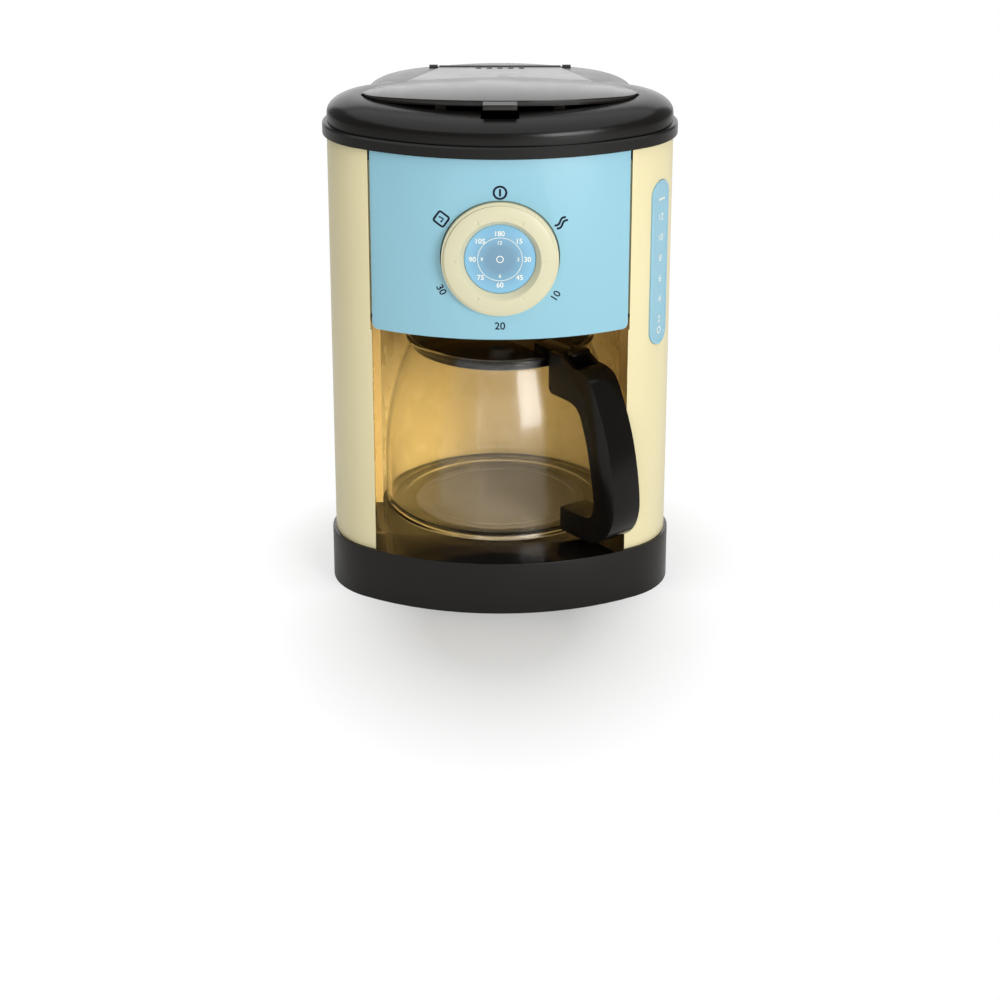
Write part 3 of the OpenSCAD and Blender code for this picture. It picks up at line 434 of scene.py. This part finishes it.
def alone(piece):
    """Selects one object and makes it active."""
    if bpy.context.object and bpy.context.object.mode != "OBJECT":
        bpy.ops.object.mode_set(mode="OBJECT")
    bpy.ops.object.select_all(action="DESELECT")
    piece.select_set(True)
    bpy.context.view_layer.objects.active = piece


def select_faces(piece, chosen):
    """Enters edit mode with only the chosen faces of a piece selected."""
    alone(piece)
    bpy.ops.object.mode_set(mode="EDIT")
    bpy.ops.mesh.select_mode(type="FACE")
    bpy.ops.mesh.select_all(action="DESELECT")
    bpy.ops.object.mode_set(mode="OBJECT")
    for face in piece.data.polygons:
        face.select = chosen(face)
    bpy.ops.object.mode_set(mode="EDIT")


def apply_all(piece):
    """Applies the modifiers of a piece in their order."""
    alone(piece)
    for modifier in list(piece.modifiers):
        bpy.ops.object.modifier_apply(modifier=modifier.name)


def settle(piece):
    """Puts the place of a piece into its mesh."""
    alone(piece)
    bpy.ops.object.transform_apply(location=True, rotation=True, scale=True)


def soft_edges(piece, width, segments):
    """Rounds the sharp edges of a piece."""
    bevel = piece.modifiers.new("soft edges", "BEVEL")
    bevel.width = width
    bevel.segments = segments
    bevel.limit_method = "ANGLE"
    bevel.angle_limit = math.radians(BEVEL_ANGLE)
    apply_all(piece)


def even_normals(piece, group):
    """Keeps the large faces in one group of a piece even beside their soft edges."""
    even = piece.modifiers.new("even normals", "WEIGHTED_NORMAL")
    even.keep_sharp = True
    even.weight = 100
    even.vertex_group = group
    apply_all(piece)


def finished_copy(node, name, edge=0.0, flat=FLAT_ANGLE, segments=3, reshape=None):
    """A copy of a CAD node with merged faces and soft edges, which stands for the node."""
    piece = bpy.data.objects.new(name, NODES[node].data.copy())
    bpy.context.scene.collection.objects.link(piece)
    alone(piece)
    bpy.ops.object.mode_set(mode="EDIT")
    bpy.ops.mesh.select_all(action="SELECT")
    bpy.ops.mesh.customdata_custom_splitnormals_clear()
    bpy.ops.mesh.remove_doubles(threshold=MERGE_DISTANCE)
    bpy.ops.mesh.dissolve_limited(angle_limit=math.radians(flat))
    bpy.ops.object.mode_set(mode="OBJECT")
    if reshape:
        reshape(piece)
    if edge:
        soft_edges(piece, edge, segments)
    alone(piece)
    bpy.ops.object.shade_smooth_by_angle(angle=math.radians(SMOOTH_ANGLE))
    return piece


def body_of_node(node):
    """The body that a CAD node belongs to."""
    for body, members in frame["record"]["behaviour"]["bodies"].items():
        if node in members:
            return body
    raise ValueError(f"no body holds {node}")


def stand_for(piece, node, finish_name):
    """Paints a piece, lets it ride where its node rides, and hides the node."""
    paint(piece, finish_name)
    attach(piece, body_of_node(node))
    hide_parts(node)


def dress(node, name, finish_name, edge=0.0, **more):
    """Makes the finished copy of a node and lets it stand for the node."""
    piece = finished_copy(node, name, edge, **more)
    stand_for(piece, node, finish_name)
    return piece


def flat_text(words, height, name):
    """A flat mesh of plain figures, centred on the origin, in the XZ plane, facing -Y."""
    bpy.ops.object.select_all(action="DESELECT")
    bpy.ops.object.text_add()
    label = bpy.context.object
    label.data.body = words
    label.data.align_x = "CENTER"
    label.data.align_y = "CENTER"
    label.data.size = height / FIGURE_SHARE
    label.data.offset = height * BOLD_SHARE
    label.data.extrude = sizes().print_depth / 2
    bpy.ops.object.convert(target="MESH")
    label = bpy.context.object
    label.name = name
    label.rotation_euler = (math.pi / 2, 0, 0)
    settle(label)
    middle = sum((Vector(corner) for corner in label.bound_box), Vector()) / 8
    label.data.transform(Matrix.Translation(-middle))
    return label


def join(pieces, name):
    """Makes one piece of several."""
    alone(pieces[0])
    for piece in pieces:
        piece.select_set(True)
    bpy.ops.object.join()
    pieces[0].name = name
    return pieces[0]


def flat_ring(radius, width, name, steps):
    """A thin ring in the XZ plane, facing -Y."""
    inner = radius - width / 2
    bpy.ops.object.select_all(action="DESELECT")
    bpy.ops.mesh.primitive_circle_add(vertices=steps, radius=inner, rotation=(math.pi / 2, 0, 0))
    ring = bpy.context.object
    ring.name = name
    settle(ring)
    bpy.ops.object.mode_set(mode="EDIT")
    bpy.ops.mesh.select_all(action="SELECT")
    bpy.ops.mesh.extrude_edges_move()
    grow = (radius + width / 2) / inner
    bpy.ops.transform.resize(value=(grow, 1, grow), center_override=(0, 0, 0))
    bpy.ops.object.mode_set(mode="OBJECT")
    thick = ring.modifiers.new("thickness", "SOLIDIFY")
    thick.thickness = sizes().print_depth
    thick.offset = 0
    apply_all(ring)
    return ring


def stroke(points, width, name, closed=False):
    """A line of even width through points in the XZ plane."""
    curve = bpy.data.curves.new(name, "CURVE")
    curve.dimensions = "3D"
    curve.bevel_depth = width / 2
    curve.bevel_resolution = 2
    curve.use_fill_caps = True
    line = curve.splines.new("POLY")
    line.points.add(len(points) - 1)
    for spot, (x, z) in zip(line.points, points):
        spot.co = (x, 0, z, 1)
    line.use_cyclic_u = closed
    piece = bpy.data.objects.new(name, curve)
    bpy.context.scene.collection.objects.link(piece)
    alone(piece)
    bpy.ops.object.convert(target="MESH")
    piece = bpy.context.object
    piece.name = name
    piece.data.transform(Matrix.Diagonal((1, sizes().print_depth / width, 1, 1)))
    return piece


# ---------- Stage ----------

CAMERA_PLACE = (0.0, -1.2128, 0.542)
CAMERA_PITCH = 22.57
CAMERA_LENS = 95.83
CAMERA_SENSOR = 36.0
CAMERA_CLIP = (0.05, 50)

FLOOR_SIZE = 16.0
PAPER_DARK = (0.80, 0.80, 0.79)
PAPER_LIGHT = (0.81, 0.81, 0.80)

# The floor is plain white except in two ovals, where its shadow shows: middle, half sizes, the
# shares of the half sizes between which the white comes in, and the least share of white
FRONT_OVAL = ((0, -0.06, 0), (0.11, 0.16, 1), 0.3, 0.95, 0.0)
BASE_OVAL = ((0, 0.023, 0), (0.132, 0.119, 1), 0.69, 0.91, 0.62)

ROOM_LIGHT = 0.33

# Lamps: name, place, what they point at, width, height and watts
LAMPS = (
    ("key", (0.97, -1.5, 0.68), (0, 0.02, 0.13), 0.75, 0.95, 17.8),
    ("front", (0.1, -2.2, 0.44), (0, 0.03, 0.09), 2.6, 0.8, 13.2),
    ("top", (0.0, 0.0, 1.7), (0, 0.02, 0.13), 3.0, 2.6, 23),
    ("back_wall", (0.0, 1.9, 0.87), (0, 0, 0.25), 2.6, 1.66, 15.5),
)
# Lamps that shiny faces don't show
NOT_MIRRORED = ("front",)


def white_paper(tree):
    """White paper: the shadow shows near the object and the rest fades to white."""
    tone = two_tone(tree, between(tree, noise(tree, *PAPER_NOISE), 0, 1), PAPER_DARK, PAPER_LIGHT)
    paper = add_node(tree, "ShaderNodeBsdfDiffuse", links={"Color": tone})
    glow = add_node(tree, "ShaderNodeEmission", {"Strength": 1.0, "Color": WHITE})
    least = combine(tree, "MINIMUM", rise_from(tree, *FRONT_OVAL), rise_from(tree, *BASE_OVAL))
    share = combine(tree, "MULTIPLY", seen_by_eye(tree), least)
    return blend(tree, share, paper.outputs["BSDF"], glow.outputs["Emission"])


def studio_world():
    """Even white surroundings, and plain white where the camera looks past the floor."""
    world = bpy.data.worlds.new("studio")
    bpy.context.scene.world = world
    world.use_nodes = True
    tree = world.node_tree
    tree.nodes.clear()
    out = tree.nodes.new("ShaderNodeOutputWorld")
    room = add_node(tree, "ShaderNodeBackground", {"Strength": ROOM_LIGHT})
    seen = add_node(tree, "ShaderNodeBackground", {"Color": WHITE, "Strength": 1.0})
    surface = blend(tree, seen_by_eye(tree), room.outputs["Background"],
                    seen.outputs["Background"])
    tree.links.new(surface, out.inputs["Surface"])


def soft_box(name, place, target, width, height, watts):
    """A wide lamp that points at its target."""
    bpy.ops.object.select_all(action="DESELECT")
    bpy.ops.object.light_add(type="AREA", location=place)
    lamp = bpy.context.object
    lamp.name = name
    lamp.data.shape = "RECTANGLE"
    lamp.data.size = width
    lamp.data.size_y = height
    lamp.data.energy = watts
    aim = Vector(target) - Vector(place)
    lamp.rotation_euler = aim.to_track_quat("-Z", "Y").to_euler()
    lamp.visible_glossy = name not in NOT_MIRRORED


class MAKER_OT_stage(bpy.types.Operator):
    """White floor, soft studio lamps and the camera"""
    bl_idname = "maker.stage"
    bl_label = "Stage"

    def execute(self, context):
        bpy.ops.object.select_all(action="DESELECT")
        bpy.ops.mesh.primitive_plane_add(size=FLOOR_SIZE)
        floor = context.object
        floor.name = "floor"
        floor.data.materials.append(new_material("white_paper", white_paper))
        studio_world()
        for lamp in LAMPS:
            soft_box(*lamp)
        bpy.ops.object.select_all(action="DESELECT")
        bpy.ops.object.camera_add(location=CAMERA_PLACE,
                                  rotation=(math.radians(90 - CAMERA_PITCH), 0, 0))
        camera = context.object
        camera.name = "camera"
        camera.data.lens = CAMERA_LENS
        camera.data.sensor_width = CAMERA_SENSOR
        camera.data.clip_start, camera.data.clip_end = CAMERA_CLIP
        context.scene.camera = camera
        context.scene.view_settings.view_transform = "Standard"
        return {"FINISHED"}


# ---------- Housing ----------

# Faces that look this much upwards, and lie this near to the top of the base, are its deck
DECK_UPRIGHT = 0.99
DECK_SKIN = 0.1 * MM

PLATE_EDGE = 0.3 * MM
BAY_FLAT_ANGLE = 0.05


class MAKER_OT_base(bpy.types.Operator):
    """Black base with its bottom plate and the plate under the jug"""
    bl_idname = "maker.base"
    bl_label = "Base"

    def execute(self, context):
        base = dress("base", "base_moulding", "black_satin", sizes().base_edge)
        base.data.materials.append(finish("deck_gloss"))
        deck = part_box("base")[1][2]
        for face in base.data.polygons:
            if face.normal.z > DECK_UPRIGHT and face.center.z > deck - DECK_SKIN:
                face.material_index = 1
        dress("base_plate", "bottom_plate", "black_satin", PLATE_EDGE)
        dress("hotplate", "hot_plate", "hotplate_dark", PLATE_EDGE)
        return {"FINISHED"}


class MAKER_OT_body(bpy.types.Operator):
    """Cream body wall and the walls of the jug bay"""
    bl_idname = "maker.body"
    bl_label = "Body"

    def execute(self, context):
        dress("body_shell", "body_wall", "cream_body", sizes().shell_edge)
        # The bay walls carry the amber of painted shade and painted bounce light
        dress("bay_liner", "bay_walls", "bay_shaded_cream", flat=BAY_FLAT_ANGLE)
        return {"FINISHED"}


class MAKER_OT_panel(bpy.types.Operator):
    """Pale blue front panel"""
    bl_idname = "maker.panel"
    bl_label = "Front panel"

    def execute(self, context):
        dress("front_panel", "blue_panel", "panel_blue", sizes().shell_edge)
        return {"FINISHED"}


# ---------- Cover and lid ----------

COVER_FLAT_ANGLE = 0.2
LID_EDGE = 0.5 * MM

# The crease of the lid: its Y in the middle and the radius of its curve
CREASE_Y = 21.4 * MM
CREASE_RADIUS = 131.0 * MM
CREASE_GAP = 0.1 * MM

# The lid's front plate: half its width and how far its tips sink, then the cuts that let it
# bend, how far past the middle of the crease they reach, and their tolerance
LENS_HALF = 64.0 * MM
LENS_SINK = 2.2 * MM
LENS_CUTS = [4.0 * MM * k for k in range(-15, 16)]
LENS_CUT_PAST = 0.5 * MM
LENS_CUT_SNAP = 0.01 * MM

# What stays in place: behind this Y all that lies a skin below the top, which falls to the back,
# and the feet, which hang this far down
LENS_PLATE_END = -5.6 * MM
LENS_FALL = 0.04
LENS_SKIN = 0.6 * MM
FOOT_DROP = 7 * MM


def behind_crease(place, by):
    """Whether a place lies behind the crease between the lid's front plate and its tongue."""
    return place.y > CREASE_Y - place.x ** 2 / (2 * CREASE_RADIUS) + by


def arch_lens(piece):
    """Domes the front plate of the lid from side to side; its feet and tongue stay in place."""
    top = max(v.co.z for v in piece.data.vertices)
    front = min(v.co.y for v in piece.data.vertices)
    for x in LENS_CUTS:
        ahead = {v.index for v in piece.data.vertices if v.co.y < CREASE_Y + LENS_CUT_PAST}
        select_faces(piece, lambda face: ahead.issuperset(face.vertices))
        bpy.ops.mesh.bisect(plane_co=(x, 0, 0), plane_no=(1, 0, 0), threshold=LENS_CUT_SNAP)
        bpy.ops.object.mode_set(mode="OBJECT")
    bpy.context.tool_settings.mesh_select_mode = (True, False, False)
    for v in piece.data.vertices:
        x, y, z = v.co
        foot = z < top - FOOT_DROP
        under = y > LENS_PLATE_END and z < top - LENS_FALL * (y - front) - LENS_SKIN
        if not (foot or under or behind_crease(v.co, CREASE_GAP)):
            v.co.z -= LENS_SINK * (x / LENS_HALF) ** 2


def even_tongue(piece):
    """Keeps the flat tongue of the lid even round its vents and beside its soft edges."""
    tongue = piece.vertex_groups.new(name="tongue")
    behind = [v.index for v in piece.data.vertices if behind_crease(v.co, 2 * CREASE_GAP)]
    tongue.add(behind, 1.0, "REPLACE")
    even_normals(piece, tongue.name)
    piece.vertex_groups.clear()


class MAKER_OT_cover(bpy.types.Operator):
    """Black cover and its lid"""
    bl_idname = "maker.cover"
    bl_label = "Cover and lid"

    def execute(self, context):
        dress("top_cover", "cover_moulding", "black_gloss", flat=COVER_FLAT_ANGLE)
        lid = finished_copy("lid", "tank_lid_moulding", LID_EDGE, reshape=arch_lens)
        even_tongue(lid)
        stand_for(lid, "lid", "lid_gloss")
        return {"FINISHED"}


# ---------- Marks on the front panel ----------

PANEL_RADIUS = 115.1 * MM

OUTLINE_WIDTH = 0.95 * MM
LINE_WIDTH = 1.0 * MM
HAND_WIDTH = 0.8 * MM

ON_RADIUS = 2.85 * MM
ON_STEPS = 48
ON_BAR_HALF = 1.7 * MM
CLOCK_HALF = 2.8 * MM
CLOCK_CORNER = 0.9 * MM
CORNER_STEPS = 4
CLOCK_HANDS = [(0.35 * MM, 1.5 * MM), (0.7 * MM, -0.8 * MM), (-1.4 * MM, -0.6 * MM)]
STEAM_ASIDE = 0.9 * MM
STEAM_SWING = 0.7 * MM
STEAM_HEIGHT = 6.4 * MM
STEAM_STEPS = 12


def panel_front(x):
    """The Y of the front panel's face at one X: a wide arc through its middle."""
    return PANEL_FACE_Y + PANEL_RADIUS - math.sqrt(PANEL_RADIUS ** 2 - x ** 2)


def lay_on_panel(piece, x, z, turn):
    """Turns a flat mark and lays it on the curved front panel."""
    lean = Matrix.Rotation(math.asin(x / PANEL_RADIUS), 4, "Z")
    spin = Matrix.Rotation(math.radians(turn), 4, "Y")
    piece.data.transform(Matrix.Translation((x, panel_front(x), z)) @ lean @ spin)


def power_mark():
    """A circle with an upright bar."""
    circle = flat_ring(ON_RADIUS, OUTLINE_WIDTH, "mark_circle", ON_STEPS)
    bar = stroke([(0, -ON_BAR_HALF), (0, ON_BAR_HALF)], LINE_WIDTH, "mark_bar")
    return join([circle, bar], "mark_on")


def clock_mark():
    """A rounded square with two hands."""
    outline = []
    for k in range(4):
        x = (CLOCK_HALF - CLOCK_CORNER) * (1 if k in (0, 3) else -1)
        z = (CLOCK_HALF - CLOCK_CORNER) * (1 if k in (0, 1) else -1)
        for step in range(CORNER_STEPS + 1):
            a = math.radians(90 * k + 90 / CORNER_STEPS * step)
            outline.append((x + CLOCK_CORNER * math.cos(a), z + CLOCK_CORNER * math.sin(a)))
    square = stroke(outline, OUTLINE_WIDTH, "mark_square", closed=True)
    hands = stroke(CLOCK_HANDS, HAND_WIDTH, "mark_hands")
    return join([square, hands], "mark_clock")


def steam_mark():
    """Two rising waves."""
    waves = []
    for aside in (-STEAM_ASIDE, STEAM_ASIDE):
        points = [(aside + STEAM_SWING * math.sin(2 * math.pi * t / STEAM_STEPS),
                   (t / STEAM_STEPS - 0.5) * STEAM_HEIGHT) for t in range(STEAM_STEPS + 1)]
        waves.append(stroke(points, LINE_WIDTH, "mark_wave"))
    return join(waves, "mark_steam")


class MAKER_OT_panel_marks(bpy.types.Operator):
    """Plain signs and figures printed round the dial"""
    bl_idname = "maker.panel_marks"
    bl_label = "Panel marks"

    def execute(self, context):
        height = sizes().panel_number
        # Each mark, its bearing from the top of the dial, its distance from the dial's middle
        # and its own turn
        places = [
            (power_mark(), 0, 31.2 * MM, 0),
            (steam_mark(), 60, 32.2 * MM, 55),
            (flat_text("10", height, "figure_a"), 125.3, 31.5 * MM, 125.3 - 180),
            (flat_text("20", height, "figure_b"), 180, 32.2 * MM, 0),
            (flat_text("30", height, "figure_c"), 239.6, 31.1 * MM, 239.6 - 180),
            (clock_mark(), 304, 32.2 * MM, -55),
        ]
        for mark, bearing, radius, turn in places:
            a = math.radians(bearing)
            lay_on_panel(mark, radius * math.sin(a), DIAL_Z + radius * math.cos(a), turn)
        marks = join([place[0] for place in places], "panel_marks")
        paint(marks, "print_black")
        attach(marks, "housing")
        return {"FINISHED"}


# ---------- Dial ----------

GRIP_EDGE = 0.35 * MM
FACE_EDGE = 0.5 * MM

# Printed rings: radius, width, name and steps
FACE_RINGS = ((10.2 * MM, 0.25 * MM, "figure_ring", 96), (1.5 * MM, 0.4 * MM, "figure_hub", 32))

# Figures on the face: words from the top clockwise, their height as a share of the outer ones,
# half width and half height of the oval that they stand on, and name
FACE_FIGURES = (
    (("180", "15", "30", "45", "60", "75", "90", "105"), 1, 12.6 * MM, 12.2 * MM, "figure_outer"),
    (("12", "3", "6", "9"), 0.72, 8.3 * MM, 7.9 * MM, "figure_inner"),
)


class MAKER_OT_dial(bpy.types.Operator):
    """Cream dial ring, blue face and the figures on it"""
    bl_idname = "maker.dial"
    bl_label = "Dial"

    def execute(self, context):
        dress("dial_ring", "dial_grip", "cream_dial", GRIP_EDGE)
        dress("dial_face", "dial_face_disc", "dial_face_blue", FACE_EDGE)
        figures = [flat_ring(*ring) for ring in FACE_RINGS]
        for row, share, half_width, half_height, name in FACE_FIGURES:
            for k, words in enumerate(row):
                a = math.radians(360 * k / len(row))
                place = (half_width * math.sin(a), 0, half_height * math.cos(a))
                figure = flat_text(words, sizes().dial_number * share, name)
                figure.data.transform(Matrix.Translation(place))
                figures.append(figure)
        figures = join(figures, "dial_figures")
        figures.data.transform(Matrix.Translation((0, FACE_LOW[1], DIAL_Z)))
        paint(figures, "print_white")
        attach(figures, "dial")
        return {"FINISHED"}


# ---------- Level gauge ----------

GAUGE_EDGE = 0.25 * MM

# The gauge lies on the curve of the right side: middle and radius of that curve, and the way
# that the gauge faces, in degrees from +X
SIDE_CENTRE_X = 45.0 * MM
GAUGE_FACE_R = 35.8 * MM + 0.35 * MM
GAUGE_ANGLE = -34.0

# Heights of the marks, in millimetres
GAUGE_FIRST = 139
GAUGE_STEP = 10
GAUGE_BAR_AT = 197.5
GAUGE_RING_AT = 133.5

GAUGE_BAR_HALF = 2.6 * MM
GAUGE_BAR_WIDTH = 1.3 * MM
GAUGE_RING = (1.5 * MM, 0.7 * MM, "gauge_ring", 32)


def lay_on_gauge(piece, height):
    """Puts a flat mark on the gauge, which faces out of the side curve."""
    a = math.radians(GAUGE_ANGLE)
    place = (SIDE_CENTRE_X + GAUGE_FACE_R * math.cos(a), GAUGE_FACE_R * math.sin(a), height * MM)
    turn = Matrix.Rotation(a + math.pi / 2, 4, "Z")
    piece.data.transform(Matrix.Translation(place) @ turn)
    return piece


class MAKER_OT_gauge(bpy.types.Operator):
    """Blue level gauge with its figures"""
    bl_idname = "maker.gauge"
    bl_label = "Level gauge"

    def execute(self, context):
        dress("level_gauge", "gauge_plate", "gauge_blue", GAUGE_EDGE)
        marks = []
        for k, words in enumerate(["2", "4", "6", "8", "10", "12"]):
            figure = flat_text(words, sizes().gauge_number, "gauge_figure")
            marks.append(lay_on_gauge(figure, GAUGE_FIRST + GAUGE_STEP * k))
        bar = stroke([(-GAUGE_BAR_HALF, 0), (GAUGE_BAR_HALF, 0)], GAUGE_BAR_WIDTH, "gauge_top_bar")
        marks.append(lay_on_gauge(bar, GAUGE_BAR_AT))
        marks.append(lay_on_gauge(flat_ring(*GAUGE_RING), GAUGE_RING_AT))
        marks = join(marks, "gauge_figures")
        paint(marks, "print_faint")
        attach(marks, "housing")
        return {"FINISHED"}


# ---------- Jug ----------

HANDLE_SEGMENTS = 4
JUG_LID_EDGE = 0.4 * MM


class MAKER_OT_jug(bpy.types.Operator):
    """Clear jug"""
    bl_idname = "maker.jug"
    bl_label = "Jug"

    def execute(self, context):
        dress("jug", "clear_jug_body", "clear_jug")
        return {"FINISHED"}


class MAKER_OT_handle(bpy.types.Operator):
    """Black jug handle and the jug's lid"""
    bl_idname = "maker.handle"
    bl_label = "Handle and jug lid"

    def execute(self, context):
        dress("jug_handle", "handle_grip", "handle_black", sizes().handle_edge,
              segments=HANDLE_SEGMENTS)
        dress("jug_lid", "jug_lid_moulding", "black_deep", JUG_LID_EDGE)
        return {"FINISHED"}


# ---------- Inner pieces ----------

INNER_FINISHES = {
    # The tank is black satin so that its inside, seen past the lid, reads dark: painted shade
    "reservoir": "black_satin", "tap_body": "inner_plastic", "outlet_pipe": "inner_plastic",
    "dial_shaft": "inner_plastic", "tank_gasket": "seal_rubber", "tap_seals": "seal_rubber",
    "base_screws": "plated_steel", "body_screws": "plated_steel", "tap_screws": "plated_steel",
    "dial_screw": "plated_steel", "handle_screw": "plated_steel", "jug_lid_pin": "plated_steel",
}


class MAKER_OT_inside(bpy.types.Operator):
    """Finishes of the tank, the tap, the seals and the screws"""
    bl_idname = "maker.inside"
    bl_label = "Inner pieces"

    def execute(self, context):
        for node, name in INNER_FINISHES.items():
            paint(NODES[node], name)
        return {"FINISHED"}


class MAKER_PT_panel(bpy.types.Panel):
    """Lists the pieces of the coffee maker"""
    bl_idname = "MAKER_PT_panel"
    bl_label = "Coffee maker"
    bl_space_type = "VIEW_3D"
    bl_region_type = "UI"
    bl_category = "Coffee maker"

    def draw(self, context):
        for group in (context.scene.maker_sizes, context.scene.maker_colours):
            box = self.layout.box()
            for name in group.__annotations__:
                box.prop(group, name)
        for operator in OPERATORS:
            self.layout.operator(operator.bl_idname)


OPERATORS = (MAKER_OT_stage, MAKER_OT_base, MAKER_OT_body, MAKER_OT_panel, MAKER_OT_cover,
             MAKER_OT_panel_marks, MAKER_OT_dial, MAKER_OT_gauge, MAKER_OT_jug, MAKER_OT_handle,
             MAKER_OT_inside)
CLASSES = (MakerSizes, MakerColours) + OPERATORS + (MAKER_PT_panel,)


def register():
    for cls in CLASSES:
        bpy.utils.register_class(cls)
    bpy.types.Scene.maker_sizes = bpy.props.PointerProperty(type=MakerSizes)
    bpy.types.Scene.maker_colours = bpy.props.PointerProperty(type=MakerColours)


def unregister():
    del bpy.types.Scene.maker_colours
    del bpy.types.Scene.maker_sizes
    for cls in reversed(CLASSES):
        bpy.utils.unregister_class(cls)


def main():
    register()
    bpy.ops.maker.stage()
    bpy.ops.maker.base()
    bpy.ops.maker.body()
    bpy.ops.maker.panel()
    bpy.ops.maker.cover()
    bpy.ops.maker.panel_marks()
    bpy.ops.maker.dial()
    bpy.ops.maker.gauge()
    bpy.ops.maker.jug()
    bpy.ops.maker.handle()
    bpy.ops.maker.inside()


if __name__ == "__main__":
    main()
